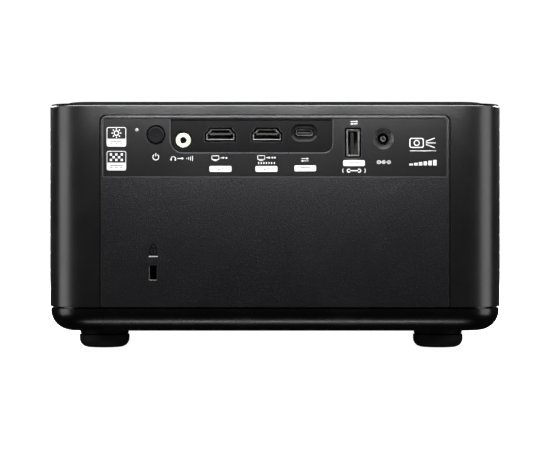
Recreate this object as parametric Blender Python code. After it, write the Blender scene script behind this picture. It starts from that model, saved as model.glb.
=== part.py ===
"""Home projector: a moulded case on four rubber feet, with its optics, cooling, boards and sockets.

Driving sizes are in millimetres, and every mesh is made in metres. +Z is up, the lens looks
along -Y, the socket panel faces +Y, and the origin is on the table under the case's centre.
"""

import math

import bmesh
import bpy
from mathutils import Vector

MM = 0.001
GAP = 0.3  # clearance left between pieces that rest on or sit in one another

# Case
WIDTH, DEPTH, CORNER = 236.0, 222.0, 18.0
WALL = 2.6
CORNER_STEPS = 6
TUB_BOTTOM, SEAM, SLEEVE_TOP, SHOULDER, TOP = 9.8, 21.4, 126.4, 127.4, 128.8
SEAM_GAP = 0.8
TUB_FILLET, TUB_INSET = 11.0, 0.4
HALF_W, HALF_D = WIDTH / 2, DEPTH / 2
LIP_IN, LIP_OUT = WALL + GAP, WALL + GAP + 1.6

# Rear panel
PANEL_HALF, PANEL_TOP, PANEL_RADIUS = 90.3, 121.3, 3.3
PANEL_FACE, PANEL_BACK = HALF_D - 0.2, HALF_D - 4.0
LABEL_RECESS, POCKET_RECESS = 0.6, 1.5
LABEL_BOTTOM = 89.5
POCKET_RIGHT, POCKET_LEFT, POCKET_BOTTOM = -29.6, 53.8, 102.0

# Things in the rear panel: (x, z) of each centre
LIGHT_AT, BUTTON_AT, AUDIO_AT = (71.2, 113.7), (61.4, 111.0), (47.4, 108.3)
VIDEO_AT = ((28.2, 111.2), (4.2, 111.2))
TYPE_C_AT, TYPE_A_AT, DC_AT, LOCK_AT = (-15.1, 113.3), (-40.2, 106.9), (-55.8, 109.1), (62.7, 40.1)
VIDEO_SIZE, TYPE_C_SIZE, TYPE_A_SIZE, LOCK_SIZE = (14.7, 5.7), (9.0, 3.4), (7.2, 14.2), (3.7, 7.4)
BUTTON_RADIUS, BUTTON_TRAVEL = 4.5, 1.2
BUTTON_BACK, BUTTON_BOARD_FACE = PANEL_BACK - 1.2, PANEL_BACK - 7.6
SOCKET_MOUTH, SOCKET_BACK = HALF_D - 2.6, HALF_D - 15.0

# Side vents
VENT_TOP, VENT_PITCH, VENT_ROWS, VENT_HEIGHT = 114.6, 9.18, 10, 1.4
VENT_END, VENT_COLUMNS, VENT_BRIDGE = 84.0, 3, 5.0

# Feet
FOOT_AT = {
    "rear_left": (90.6, 79.0),
    "rear_right": (-86.6, 79.0),
    "front_left": (89.5, -78.0),
    "front_right": (-89.5, -78.0),
}
FOOT_RADIUS, FOOT_TOP, NECK_BOTTOM = 13.2, 6.8, 7.1
SPIGOT_RADIUS, SPIGOT_TOP = 5.0, 12.0

# Optics: the lens axis runs along Y
LENS_X, LENS_Z = -45.0, 72.0
CELL_FRONT, CELL_BACK, CELL_BORE, CELL_RADIUS = -104.0, -64.0, 20.3, 23.0
BARREL_FRONT, BARREL_BACK = -90.0, -45.3
SCREW_OFFSET, SCREW_RADIUS = 28.0, 1.5
ENGINE = (-78.0, -12.0, -45.0, 42.0, 40.0, 103.0)

# Front panel
FRONT_HALF, FRONT_LOW, FRONT_HIGH, FRONT_RADIUS = 100.0, 31.0, 119.0, 12.0
LENS_HOLE, TRIM_RADIUS = 25.0, 33.0
WINDOW = (14.0, 78.0, 88.0, 104.0)
SENSOR_BOARD_FRONT = -HALF_D + 10.4

# Cooling: each fan blows along X
FAN_Y, FAN_Z, FAN_SIDE, FAN_THICK, FAN_BORE = 36.0, 72.0, 80.0, 14.0, 37.5
FAN_OUTER, HUB_RADIUS, BLADES = 113.2, 16.0, 9
SINK = (42.0, 92.0, 0.0, 72.0, 38.0, 106.0)
FINS, FIN_THICK = 13, 1.4

# Boards
BOARD_LOW, BOARD_THICK, POWER_BOARD_LOW = 117.4, 1.6, 21.0

# Speakers face the side vents at the front
SPEAKER_Y, SPEAKER_Z, SPEAKER_RADIUS = -50.0, 70.0, 26.0
SPEAKER_BOX = (86.0, 112.6, -86.0, -14.0, 34.0, 106.0)

CASE_SCREW_AT = (HALF_W - CORNER, HALF_D - CORNER)
SCREW_HEAD, SCREW_SHAFT, SCREW_HOLE = 2.9, 1.4, 1.75
TRIPOD_RADIUS, TRIPOD_BORE, TRIPOD_TOP = 6.5, 3.2, 19.4
CEILING_AT, CEILING_HOLE = ((50.0, 40.0), (-50.0, 40.0), (0.0, -58.0)), 2.0

COLOURS = {  # name: (colour, roughness, metallic)
    "case_plastic": ((0.022, 0.022, 0.025, 1), 0.55, 0.0),
    "top_plastic": ((0.012, 0.012, 0.013, 1), 0.40, 0.0),
    "gloss_plastic": ((0.006, 0.006, 0.007, 1), 0.12, 0.0),
    "rubber": ((0.010, 0.010, 0.010, 1), 0.85, 0.0),
    "plated_steel": ((0.62, 0.60, 0.56, 1), 0.30, 1.0),
    "aluminium": ((0.70, 0.71, 0.72, 1), 0.35, 1.0),
    "copper": ((0.78, 0.40, 0.24, 1), 0.30, 1.0),
    "brass": ((0.75, 0.58, 0.28, 1), 0.30, 1.0),
    "cast_metal": ((0.24, 0.25, 0.26, 1), 0.50, 1.0),
    "circuit_board": ((0.015, 0.10, 0.05, 1), 0.45, 0.0),
    "socket_plastic": ((0.02, 0.02, 0.02, 1), 0.45, 0.0),
    "jack_ring": ((0.62, 0.80, 0.50, 1), 0.45, 0.0),
    "light_pipe": ((0.75, 0.76, 0.78, 1), 0.35, 0.0),
    "lens_glass": ((0.55, 0.60, 0.72, 1), 0.05, 0.0),
    "cone_paper": ((0.05, 0.05, 0.05, 1), 0.80, 0.0),
}


# ---------------------------------------------------------------- mesh shapes: (points, faces)


def arc(centre, radius, start, end, steps):
    """Points of an arc in degrees, both ends included."""
    turns = [math.radians(start + (end - start) * i / steps) for i in range(steps + 1)]
    return [(centre[0] + radius * math.cos(t), centre[1] + radius * math.sin(t)) for t in turns]


def rounded(u0, u1, v0, v1, radii, steps=CORNER_STEPS):
    """A rectangle with a radius at each corner: low-left, low-right, high-right, high-left."""
    corners = ((u0, v0, 1, 1, 180), (u1, v0, -1, 1, 270), (u1, v1, -1, -1, 0), (u0, v1, 1, -1, 90))
    points = []
    for (u, v, du, dv, start), radius in zip(corners, radii):
        if radius:
            centre = (u + du * radius, v + dv * radius)
            points += arc(centre, radius, start, start + 90, steps)
        else:
            points.append((u, v))
    return points


def circle(centre, radius, steps=24):
    return arc(centre, radius, 0, 360, steps)[:-1]


def case_outline(inset, corner=CORNER):
    """The case's plan outline, moved in by inset."""
    radius = max(corner - inset, 1.0)
    return rounded(inset - HALF_W, HALF_W - inset, inset - HALF_D, HALF_D - inset, (radius,) * 4)


def placed(point, axis, along):
    """A 2-D point set into space: axis is the direction that along runs in."""
    u, v = point
    return {"X": (along, u, v), "Y": (u, along, v), "Z": (u, v, along)}[axis]


def loft(loops, closed=False):
    """Skins between loops of equal length. It is capped at both ends, or joined into a ring."""
    count = len(loops[0])
    points = [p for loop in loops for p in loop]
    faces = []
    for i in range(len(loops) if closed else len(loops) - 1):
        a, b = i * count, (i + 1) % len(loops) * count
        for j in range(count):
            k = (j + 1) % count
            faces.append((a + j, a + k, b + k, b + j))
    if not closed:
        faces.append(tuple(range(count)))
        faces.append(tuple(range(len(points) - count, len(points))))
    return points, faces


def prism(outline, axis, low, high):
    return loft([[placed(p, axis, w) for p in outline] for w in (low, high)])


def stepped(layers, axis):
    """A solid skinned through (outline, distance along axis) layers."""
    return loft([[placed(p, axis, w) for p in outline] for outline, w in layers])


def block(x0, x1, y0, y1, z0, z1):
    return prism([(x0, y0), (x1, y0), (x1, y1), (x0, y1)], "Z", z0, z1)


def rod(centre, radius, axis, low, high, steps=24):
    return prism(circle(centre, radius, steps), axis, low, high)


def turned(profile, centre, axis, steps=32, closed=False):
    """A profile of (radius, distance along axis) turned round an axis through centre."""
    points, rings = [], []
    for radius, along in profile:
        ring = circle(centre, radius, steps) if radius > 0 else [centre]
        rings.append(range(len(points), len(points) + len(ring)))
        points += [placed(p, axis, along) for p in ring]
    faces = []
    pairs = list(zip(rings, rings[1:])) + ([(rings[-1], rings[0])] if closed else [])
    for a, b in pairs:
        for j in range(steps):
            k = (j + 1) % steps
            if len(a) == 1:
                faces.append((a[0], b[j], b[k]))
            elif len(b) == 1:
                faces.append((a[j], b[0], a[k]))
            else:
                faces.append((a[j], b[j], b[k], a[k]))
    return points, faces


def tube(route, radius, steps=10):
    """A round bar along a route of points, capped at both ends."""
    loops = []
    for i, point in enumerate(route):
        before, after = Vector(route[max(i - 1, 0)]), Vector(route[min(i + 1, len(route) - 1)])
        along = (after - before).normalized()
        side = along.orthogonal().normalized() if i == 0 else (side - along * side.dot(along)).normalized()
        other = along.cross(side)
        ring = circle((0, 0), radius, steps)
        loops.append([tuple(Vector(point) + side * u + other * v) for u, v in ring])
    return loft(loops)


def together(*meshes):
    points, faces = [], []
    for more_points, more_faces in meshes:
        faces += [tuple(i + len(points) for i in face) for face in more_faces]
        points += more_points
    return points, faces


# ---------------------------------------------------------------- Blender objects


def clear_scene():
    for obj in list(bpy.data.objects):
        bpy.data.objects.remove(obj)


def material(name):
    found = bpy.data.materials.get(name)
    if found:
        return found
    colour, roughness, metallic = COLOURS[name]
    made = bpy.data.materials.new(name)
    made.use_nodes = True
    shader = made.node_tree.nodes["Principled BSDF"]
    shader.inputs["Base Color"].default_value = colour
    shader.inputs["Roughness"].default_value = roughness
    shader.inputs["Metallic"].default_value = metallic
    made.diffuse_color = colour
    return made


def mesh_object(name, shape, origin=(0, 0, 0)):
    """An object whose origin is at origin, from a shape in millimetres in the part's frame."""
    points, faces = shape
    mesh = bpy.data.meshes.new(name)
    mesh.from_pydata([(Vector(p) - Vector(origin)) * MM for p in points], [], faces)
    edit = bmesh.new()
    edit.from_mesh(mesh)
    bmesh.ops.remove_doubles(edit, verts=edit.verts, dist=0.001 * MM)
    bmesh.ops.recalc_face_normals(edit, faces=edit.faces)
    edit.to_mesh(mesh)
    edit.free()
    obj = bpy.data.objects.new(name, mesh)
    obj.location = Vector(origin) * MM
    bpy.context.scene.collection.objects.link(obj)
    return obj


def part(name, shape, finish, origin=(0, 0, 0), smooth=True):
    obj = mesh_object(name, shape, origin)
    obj.data.materials.append(material(finish))
    if smooth:
        obj.data.shade_smooth()
        obj.data.set_sharp_from_angle(angle=math.radians(32))
    return obj


def combine(obj, operation, shape):
    """Adds a Boolean with a hidden helper made from shape."""
    helper = mesh_object(f"helper_{operation.lower()}_{obj.name}_{len(obj.modifiers)}", shape)
    helper.hide_render = True
    helper.display_type = "WIRE"
    modifier = obj.modifiers.new(operation.title(), "BOOLEAN")
    modifier.operation = operation
    modifier.object = helper
    modifier.solver = "EXACT"
    modifier.use_self = operation == "UNION"


def cut(obj, *shapes):
    combine(obj, "DIFFERENCE", together(*shapes))


def fuse(obj, *shapes):
    for shape in shapes:
        combine(obj, "UNION", shape)


# ---------------------------------------------------------------- case


def corner_points():
    x, y = CASE_SCREW_AT
    return [(sx * x, sy * y) for sx in (1, -1) for sy in (1, -1)]


def bottom_tub():
    """The tray: a round-edged floor with a lip that locates the sleeve, bosses and foot necks."""
    floor = TUB_BOTTOM + WALL
    layers = [
        (case_outline(TUB_FILLET), floor),
        (case_outline(LIP_OUT + 3), floor + 2),
        (case_outline(LIP_OUT), floor + 8),
        (case_outline(LIP_OUT), SEAM + 2),
        (case_outline(LIP_IN), SEAM + 2),
        (case_outline(LIP_IN), SEAM),
        (case_outline(TUB_INSET), SEAM),
    ]
    for step in range(6):
        turn = math.radians(90 * step / 5)
        inset = TUB_INSET + TUB_FILLET * (1 - math.cos(turn))
        layers.append((case_outline(inset), TUB_BOTTOM + TUB_FILLET * (1 - math.sin(turn))))
    tub = part("bottom_tub", stepped(layers, "Z"), "case_plastic")
    bosses = [rod(at, 3.6, "Z", floor - 1, SEAM + 2.4, 12) for at in corner_points()]
    for at in FOOT_AT.values():
        bosses.append(rod(at, 7.0, "Z", floor - 1, SPIGOT_TOP + 2.4, 16))
        neck = [(0, NECK_BOTTOM), (12.6, NECK_BOTTOM), (13.2, TUB_BOTTOM + 1), (0, TUB_BOTTOM + 1)]
        bosses.append(turned(neck, at, "Z", 24))
    bosses.append(rod((0, 0), TRIPOD_RADIUS + 2.4, "Z", floor - 1, TRIPOD_TOP + 2, 24))
    bosses += [rod(at, 5.0, "Z", floor - 1, floor + 8, 12) for at in CEILING_AT]
    bosses += [rod(at, radius, "Z", floor - 1, top - GAP, 10) for at, radius, top in inner_posts()]
    fuse(tub, *bosses)
    head, seat = SCREW_HEAD + GAP, TUB_BOTTOM + 3
    bore = [(0, 0), (head, 0), (head, seat), (SCREW_HOLE, seat), (SCREW_HOLE, 60), (0, 60)]
    holes = [turned(bore, at, "Z", 14) for at in corner_points()]
    holes += [rod(at, SPIGOT_RADIUS + GAP, "Z", 0, SPIGOT_TOP + GAP, 16) for at in FOOT_AT.values()]
    holes.append(rod((0, 0), TRIPOD_RADIUS + GAP, "Z", 0, TRIPOD_TOP + GAP, 24))
    holes += [rod(at, CEILING_HOLE, "Z", 0, floor + 6, 12) for at in CEILING_AT]
    cut(tub, *holes)


def inner_posts():
    """(centre, radius, top) of the posts under the boards, the heat sink, the fans and the speakers."""
    posts = [(at, 3.4, BOARD_LOW) for at in ((-82.0, 88.0), (82.0, 88.0), (-82.0, -8.0), (36.0, -8.0))]
    posts += [((x, y), 2.6, POWER_BOARD_LOW) for x in (-66.0, 26.0) for y in (54.0, 94.0)]
    posts += [((x, y), 3.0, SINK[4]) for x in (48.0, 86.0) for y in (6.0, 66.0)]
    fan_x, speaker_x = FAN_OUTER - FAN_THICK / 2, (SPEAKER_BOX[0] + SPEAKER_BOX[1]) / 2
    for side in (1, -1):
        posts += [((side * fan_x, y), 3.0, FAN_Z - FAN_SIDE / 2) for y in (6.0, 62.0)]
        posts.append(((side * speaker_x, -40.0), 3.0, SPEAKER_BOX[4]))
    return posts


def side_slots(side):
    """The rows of vent slots through one side wall."""
    length = (2 * VENT_END - (VENT_COLUMNS - 1) * VENT_BRIDGE) / VENT_COLUMNS
    slots = []
    for row in range(VENT_ROWS):
        z = VENT_TOP - row * VENT_PITCH
        for column in range(VENT_COLUMNS):
            y = -VENT_END + column * (length + VENT_BRIDGE)
            x = sorted((side * (HALF_W - 9), side * (HALF_W + 5)))
            slots.append(block(*x, y, y + length, z - VENT_HEIGHT / 2, z + VENT_HEIGHT / 2))
    return slots


def body_sleeve():
    """The four walls in one piece, with openings for the rear panel, the front panel and the vents."""
    low = SEAM + SEAM_GAP
    loops = [(0, low), (0, SLEEVE_TOP), (WALL, SLEEVE_TOP), (WALL, low)]
    walls = [[placed(p, "Z", z) for p in case_outline(inset)] for inset, z in loops]
    sleeve = part("body_sleeve", loft(walls, closed=True), "case_plastic")
    for x, y in corner_points():
        post = rod((x, y), 4.2, "Z", SEAM + 2.8, 60, 12)
        wall_x = math.copysign(HALF_W - 1, x)
        rib = block(*sorted((x, wall_x)), y - 1, y + 1, SEAM + 3.2, 59)
        fuse(sleeve, post, rib)
    notch = rounded(
        -PANEL_HALF, PANEL_HALF, 0, PANEL_TOP, (0, 0, PANEL_RADIUS, PANEL_RADIUS)
    )
    front = rounded(-FRONT_HALF, FRONT_HALF, FRONT_LOW, FRONT_HIGH, (FRONT_RADIUS,) * 4)
    pilots = [rod(at, SCREW_HOLE, "Z", 0, 45, 12) for at in corner_points()]
    cut(
        sleeve,
        prism(notch, "Y", HALF_D - 9, HALF_D + 9),
        prism(front, "Y", -HALF_D - 9, 9 - HALF_D),
        *pilots,
        *side_slots(1),
        *side_slots(-1),
    )


def top_cover():
    """The lid: a chamfered rim, a locating lip below it and a raised crown above it."""
    layers = [
        (case_outline(LIP_OUT), SLEEVE_TOP - 0.4),
        (case_outline(LIP_OUT), SLEEVE_TOP - 3),
        (case_outline(LIP_IN), SLEEVE_TOP - 3),
        (case_outline(LIP_IN), SLEEVE_TOP + GAP),
        (case_outline(0.2), SLEEVE_TOP + GAP),
        (case_outline(0.2), SHOULDER - 0.5),
        (case_outline(0.8), SHOULDER),
    ]
    crown_start, crown_end, steps = 4.5, 12.0, 5
    for step in range(steps + 1):
        t = step / steps
        rise = t * t * (3 - 2 * t)
        inset = crown_start + (crown_end - crown_start) * t
        layers.append((case_outline(inset), SHOULDER + (TOP - SHOULDER) * rise))
    part("top_cover", stepped(layers, "Z"), "top_plastic")


def socket_outline(at, width, height, grow=0.0):
    """The keyed outline of a video socket: its upper corners are cut off."""
    x, z = at
    w, h = width / 2 + grow, height / 2 + grow
    half = [(w, -h), (w, 0.18 * h), (w - 1.0, 0.35 * h), (w - 2.4, h)]
    return [(x + u, z + v) for u, v in half] + [(x - u, z + v) for u, v in reversed(half)]


def box_outline(at, size, radius, grow=0.0):
    (x, z), (w, h) = at, size
    u, v = w / 2 + grow, h / 2 + grow
    return rounded(x - u, x + u, z - v, z + v, (max(radius + grow, 0.2),) * 4, 4)


def rear_panel():
    """The socket plate, with a shallow label recess and a deeper pocket round four sockets."""
    low, high, half = SEAM + SEAM_GAP, PANEL_TOP - GAP, PANEL_HALF - GAP
    radii = (0, 0, PANEL_RADIUS, PANEL_RADIUS)
    flange = HALF_D - WALL - GAP
    lap = 1.0
    panel = part(
        "rear_panel",
        prism(rounded(-half, half, low, high, radii), "Y", PANEL_BACK, PANEL_FACE),
        "case_plastic",
    )
    fuse(panel, block(-half - lap, half + lap, PANEL_BACK - 0.01, flange, low + 3, high + lap))
    x, z = BUTTON_AT
    fuse(panel, *[rod(at, 1.4, "Y", BUTTON_BOARD_FACE + GAP, PANEL_BACK + 1, 8) for at in ((x - 7, z - 5.4), (x + 12, z - 5.4))])
    label_face = PANEL_FACE - LABEL_RECESS
    pocket_face = label_face - POCKET_RECESS
    label = rounded(-half + 1.4, half - 1.4, LABEL_BOTTOM, high - 1.4, (0, 0, 2, 2))
    pocket = rounded(POCKET_RIGHT, POCKET_LEFT, POCKET_BOTTOM, high - 1.5, (4.5, 6.3, 0, 0))
    through = (PANEL_BACK - 9, HALF_D + 9)
    cut(
        panel,
        prism(label, "Y", label_face, HALF_D + 9),
        rod(LIGHT_AT, 1.3, "Y", *through, 12),
        rod(BUTTON_AT, BUTTON_RADIUS + 0.4, "Y", *through, 32),
        rod(DC_AT, 5.1, "Y", *through, 24),
        prism(box_outline(TYPE_A_AT, TYPE_A_SIZE, 0.6, 0.6), "Y", *through),
        prism(box_outline(LOCK_AT, LOCK_SIZE, 0.5), "Y", *through),
        block(-half - 9, half + 9, PANEL_BACK - 9, flange + GAP, 0, SEAM + 2 + GAP),
    )
    cut(panel, prism(pocket, "Y", pocket_face, HALF_D + 8))
    cut(
        panel,
        rod(AUDIO_AT, 5.0, "Y", *through, 24),
        *[prism(socket_outline(at, *VIDEO_SIZE, 0.8), "Y", *through) for at in VIDEO_AT],
        prism(box_outline(TYPE_C_AT, TYPE_C_SIZE, 1.6, 0.6), "Y", *through),
    )
    recess = box_outline((TYPE_C_AT[0], TYPE_C_AT[1] - 0.5), (14.2, 10.2), 5.0)
    cut(panel, prism(recess, "Y", pocket_face - 0.9, HALF_D + 9))


def lock_bracket():
    """The steel plate that a security lock grips."""
    x, z = LOCK_AT
    front = PANEL_BACK - GAP
    plate = part("lock_bracket", block(x - 11, x + 11, front - 1.5, front, z - 11, z + 11), "plated_steel")
    cut(plate, prism(box_outline(LOCK_AT, (3.2, 7.0), 0.4), "Y", front - 9, front + 9))


def front_panel():
    """The fascia, held behind the sleeve's front opening by a flange."""
    low, high, half = FRONT_LOW + GAP, FRONT_HIGH - GAP, FRONT_HALF - GAP
    face, back, flange = -HALF_D + 0.4, -HALF_D + 4.4, -HALF_D + WALL + GAP
    plate = rounded(-half, half, low, high, (FRONT_RADIUS,) * 4)
    rim = rounded(-half - 2, half + 2, low - 2, high + 2, (FRONT_RADIUS,) * 4)
    panel = part("front_panel", prism(plate, "Y", face, back), "case_plastic")
    x0, x1, z0, z1 = WINDOW
    bosses = [rod((x, (z0 + z1) / 2), 2.4, "Y", back - 1, SENSOR_BOARD_FRONT - GAP, 10) for x in (x0 - 3, x1 + 3)]
    fuse(panel, prism(rim, "Y", flange, back + 0.01), *bosses)
    seat = rounded(x0, x1, z0, z1, (5,) * 4, 5)
    inner = rounded(x0 + 3, x1 - 3, z0 + 3, z1 - 3, (3,) * 4, 4)
    cut(
        panel,
        rod((LENS_X, LENS_Z), TRIM_RADIUS + GAP, "Y", face - 9, face + 2.2, 40),
        prism(seat, "Y", face - 9, face + 1.8),
    )
    cut(
        panel,
        rod((LENS_X, LENS_Z), LENS_HOLE + 1.4, "Y", face - 8, back + 9, 40),
        prism(inner, "Y", face - 8, back + 9),
    )


def lens_trim_ring():
    """The funnel round the lens, set in the fascia."""
    face = -HALF_D + 0.4
    back = face + 2.2 - GAP
    profile = [
        (TRIM_RADIUS, back),
        (TRIM_RADIUS, face + 0.3),
        (TRIM_RADIUS - 0.5, face - 0.1),
        (TRIM_RADIUS - 2.5, face - 0.1),
        (LENS_HOLE, back - 0.2),
        (LENS_HOLE, back + 1.4),
        (LENS_HOLE + 1, back + 1.4),
        (LENS_HOLE + 1, back),
    ]
    part("lens_trim_ring", turned(profile, (LENS_X, LENS_Z), "Y", 32, closed=True), "gloss_plastic")


def sensor_window():
    """The dark glossy window over the focus sensor and the remote receiver."""
    x0, x1, z0, z1 = WINDOW
    face = -HALF_D + 0.4
    outline = rounded(x0 + GAP, x1 - GAP, z0 + GAP, z1 - GAP, (4.7,) * 4, 5)
    part("sensor_window", prism(outline, "Y", face + 0.2, face + 1.8 - GAP), "gloss_plastic")


def side_mesh(name, side):
    """The dust screen behind one side's vent slots."""
    outer = HALF_W - WALL - GAP
    x = sorted((side * outer, side * (outer - 0.8)))
    span = CASE_SCREW_AT[1] - 6
    low, high = VENT_TOP - (VENT_ROWS - 1) * VENT_PITCH - 3, VENT_TOP + 3
    part(name, block(*x, -span, span, low, high), "plated_steel", smooth=False)


# ---------------------------------------------------------------- controls and sockets


def power_button():
    """The round push button. It travels along -Y."""
    face, flange = PANEL_FACE - 0.3, PANEL_BACK - GAP
    profile = [
        (0, face),
        (BUTTON_RADIUS - 0.9, face),
        (BUTTON_RADIUS - 0.2, face - 0.25),
        (BUTTON_RADIUS, face - 0.7),
        (BUTTON_RADIUS, flange),
        (BUTTON_RADIUS + 1.2, flange),
        (BUTTON_RADIUS + 1.2, BUTTON_BACK),
        (1.6, BUTTON_BACK),
        (1.6, BUTTON_BACK - 1.6),
        (0, BUTTON_BACK - 1.6),
    ]
    x, z = BUTTON_AT
    part("power_button", turned(profile, BUTTON_AT, "Y", 28), "socket_plastic", (x, face, z))


def button_board():
    """The small upright board with the push switch and the status lamp."""
    x, z = BUTTON_AT
    face, plunger = BUTTON_BOARD_FACE, BUTTON_BACK - 1.6 - BUTTON_TRAVEL - GAP
    board = part("button_board", block(x - 9, x + 14, face - 1.4, face, z - 7, z + 4.4), "circuit_board")
    fuse(board, block(x - 2.5, x + 2.5, face - 0.5, plunger, z - 2.5, z + 2.5))


def status_light():
    face = PANEL_FACE - LABEL_RECESS
    profile = [(0, face + 0.1), (0.7, face), (1.0, face - 0.3), (1.0, PANEL_BACK - 6), (0, PANEL_BACK - 6)]
    part("status_light", turned(profile, LIGHT_AT, "Y", 14), "light_pipe")


def cup(outer, inner, mouth, back, floor=1.2):
    """An open shell: a tube closed at its back."""
    layers = [(outer, back), (outer, mouth), (inner, mouth), (inner, back + floor)]
    return stepped(layers, "Y")


def video_socket(number, at):
    outer, inner = socket_outline(at, *VIDEO_SIZE), socket_outline(at, *VIDEO_SIZE, -0.5)
    part(f"video_socket_{number}", cup(outer, inner, SOCKET_MOUTH, SOCKET_BACK), "plated_steel")
    x, z = at
    tongue = block(x - 5.6, x + 5.6, SOCKET_BACK + 1.2 + GAP, SOCKET_MOUTH - 1.2, z - 0.1, z + 0.9)
    part(f"video_tongue_{number}", tongue, "socket_plastic", smooth=False)


def type_c_socket():
    outer, inner = box_outline(TYPE_C_AT, TYPE_C_SIZE, 1.6), box_outline(TYPE_C_AT, TYPE_C_SIZE, 1.6, -0.35)
    shell = part("type_c_socket", cup(outer, inner, SOCKET_MOUTH - 0.6, SOCKET_BACK + 5), "plated_steel")
    x, z = TYPE_C_AT
    fuse(shell, block(x - 3.3, x + 3.3, SOCKET_BACK + 5.6, SOCKET_MOUTH - 1.6, z - 0.35, z + 0.35))


def type_a_socket():
    """The upright host socket: flared lips round a thin shell."""
    at, size = TYPE_A_AT, TYPE_A_SIZE
    layers = [
        (box_outline(at, size, 0.6, -0.6), SOCKET_BACK),
        (box_outline(at, size, 0.6, -0.6), SOCKET_MOUTH + 0.2),
        (box_outline(at, size, 0.6), SOCKET_MOUTH + 1.0),
        (box_outline(at, size, 0.6, -0.35), SOCKET_MOUTH + 1.0),
        (box_outline(at, size, 0.6, -1.0), SOCKET_MOUTH - 0.2),
        (box_outline(at, size, 0.6, -1.0), SOCKET_BACK + 1.2),
    ]
    part("type_a_socket", stepped(layers, "Y"), "plated_steel")
    x, z = at
    tongue = block(x + 0.2, x + 2.0, SOCKET_BACK + 1.2 + GAP, SOCKET_MOUTH - 0.8, z - 5.6, z + 5.6)
    part("type_a_tongue", tongue, "socket_plastic", smooth=False)


def audio_jack():
    """A moulded ring with a blind bore, on its square body."""
    mouth, body = PANEL_FACE - LABEL_RECESS - POCKET_RECESS - 0.6, PANEL_BACK - GAP
    back = SOCKET_BACK + 1
    profile = [
        (1.75, back + 1.5),
        (1.75, mouth - 0.3),
        (2.05, mouth),
        (3.6, mouth),
        (3.85, mouth - 0.3),
        (3.85, back),
        (0, back),
    ]
    jack = part("audio_jack", turned([(0, back + 1.5)] + profile, AUDIO_AT, "Y", 22), "jack_ring")
    x, z = AUDIO_AT
    collar = block(x - 4.5, x + 4.5, back + 0.1, body, z - 4.5, BOARD_LOW - GAP)
    bore = rod(AUDIO_AT, 1.75, "Y", back + 1.5, HALF_D + 9, 22)
    fuse(jack, collar)
    cut(jack, bore)


def dc_jack():
    """The power inlet: a barrel with a centre pin on its own node."""
    mouth, back = PANEL_FACE - 2.0, SOCKET_BACK + 1
    profile = [(0, back + 1.5), (3.95, back + 1.5), (3.95, mouth), (4.8, mouth), (4.8, back), (0, back)]
    part("dc_jack", turned(profile, DC_AT, "Y", 24), "socket_plastic")
    pin = [(0, back + 1.8), (2.0, back + 1.8), (2.0, mouth - 1.5), (0.95, mouth - 1.3), (0.95, back + 3), (0, back + 3)]
    part("dc_pin", turned(pin, DC_AT, "Y", 14), "plated_steel")


# ---------------------------------------------------------------- optics


def engine_housing():
    """The cast box of the light engine, with a stepped lid and feet that stand on the tub's floor."""
    x0, x1, y0, y1, z0, z1 = ENGINE
    housing = part("engine_housing", block(x0, x1, y0, y1, z0, z1 - 6), "cast_metal")
    legs = [
        rod((x, y), 4.0, "Z", TUB_BOTTOM + WALL + GAP, z0 + 1, 12)
        for x in (x0 + 8, x1 - 8)
        for y in (y0 + 8, y1 - 8)
    ]
    fuse(housing, block(x0 + 4, x1 - 4, y0 + 4, y1 - 4, z1 - 7, z1), *legs)


def lens_barrel():
    """The fixed barrel on the engine's front, which the lens cell slides on."""
    bore, outside = 17.0, CELL_BORE - GAP
    profile = [
        (bore, BARREL_FRONT),
        (outside, BARREL_FRONT),
        (outside, BARREL_BACK - 3),
        (32, BARREL_BACK - 3),
        (32, BARREL_BACK),
        (bore, BARREL_BACK),
    ]
    part("lens_barrel", turned(profile, (LENS_X, LENS_Z), "Y", 28, closed=True), "cast_metal")


def lens_cell():
    """The sliding tube that carries the front lens. A lug on it takes the focus screw."""
    profile = [
        (CELL_BORE, CELL_BACK),
        (CELL_BORE, CELL_FRONT + 2),
        (CELL_BORE - 1.2, CELL_FRONT + 1.4),
        (CELL_BORE + 0.4, CELL_FRONT),
        (CELL_RADIUS, CELL_FRONT),
        (CELL_RADIUS, CELL_BACK),
    ]
    origin = (LENS_X, CELL_FRONT, LENS_Z)
    cell = part("lens_cell", turned(profile, (LENS_X, LENS_Z), "Y", 30, closed=True), "socket_plastic", origin)
    lug_x = LENS_X + CELL_RADIUS - 1.5
    fuse(cell, block(lug_x, LENS_X + SCREW_OFFSET + 3.5, -76, -70, LENS_Z - 3.5, LENS_Z + 3.5))
    cut(cell, rod((LENS_X + SCREW_OFFSET, LENS_Z), SCREW_RADIUS + GAP, "Y", -79, -67, 16))


def front_lens():
    """A biconvex lens in the front of the cell."""
    radius, front, back, crown = CELL_BORE - GAP, CELL_FRONT + 3.2, CELL_FRONT + 9.0, 2.6
    steps = 3
    bow = [(radius * i / steps, crown * (1 - (i / steps) ** 2)) for i in range(steps + 1)]
    profile = [(r, front + 1.8 - rise) for r, rise in bow] + [(r, back + rise) for r, rise in reversed(bow)]
    part("front_lens", turned(profile, (LENS_X, LENS_Z), "Y", 30), "lens_glass", (LENS_X, front, LENS_Z))


def focus_drive():
    """A small motor on the barrel's flange turns a screw that moves the lens cell."""
    x, z = LENS_X + SCREW_OFFSET, LENS_Z
    flange = BARREL_BACK - 3 - GAP
    motor = part("focus_motor", rod((x, z), 4.6, "Y", flange - 11, flange, 20), "plated_steel")
    cut(motor, rod((x, z), SCREW_RADIUS + GAP, "Y", flange - 14, flange - 6, 16))
    screw = rod((x, z), SCREW_RADIUS, "Y", -82, flange - 6 - GAP, 16)
    part("focus_screw", screw, "plated_steel", (x, -82, z))


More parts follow.
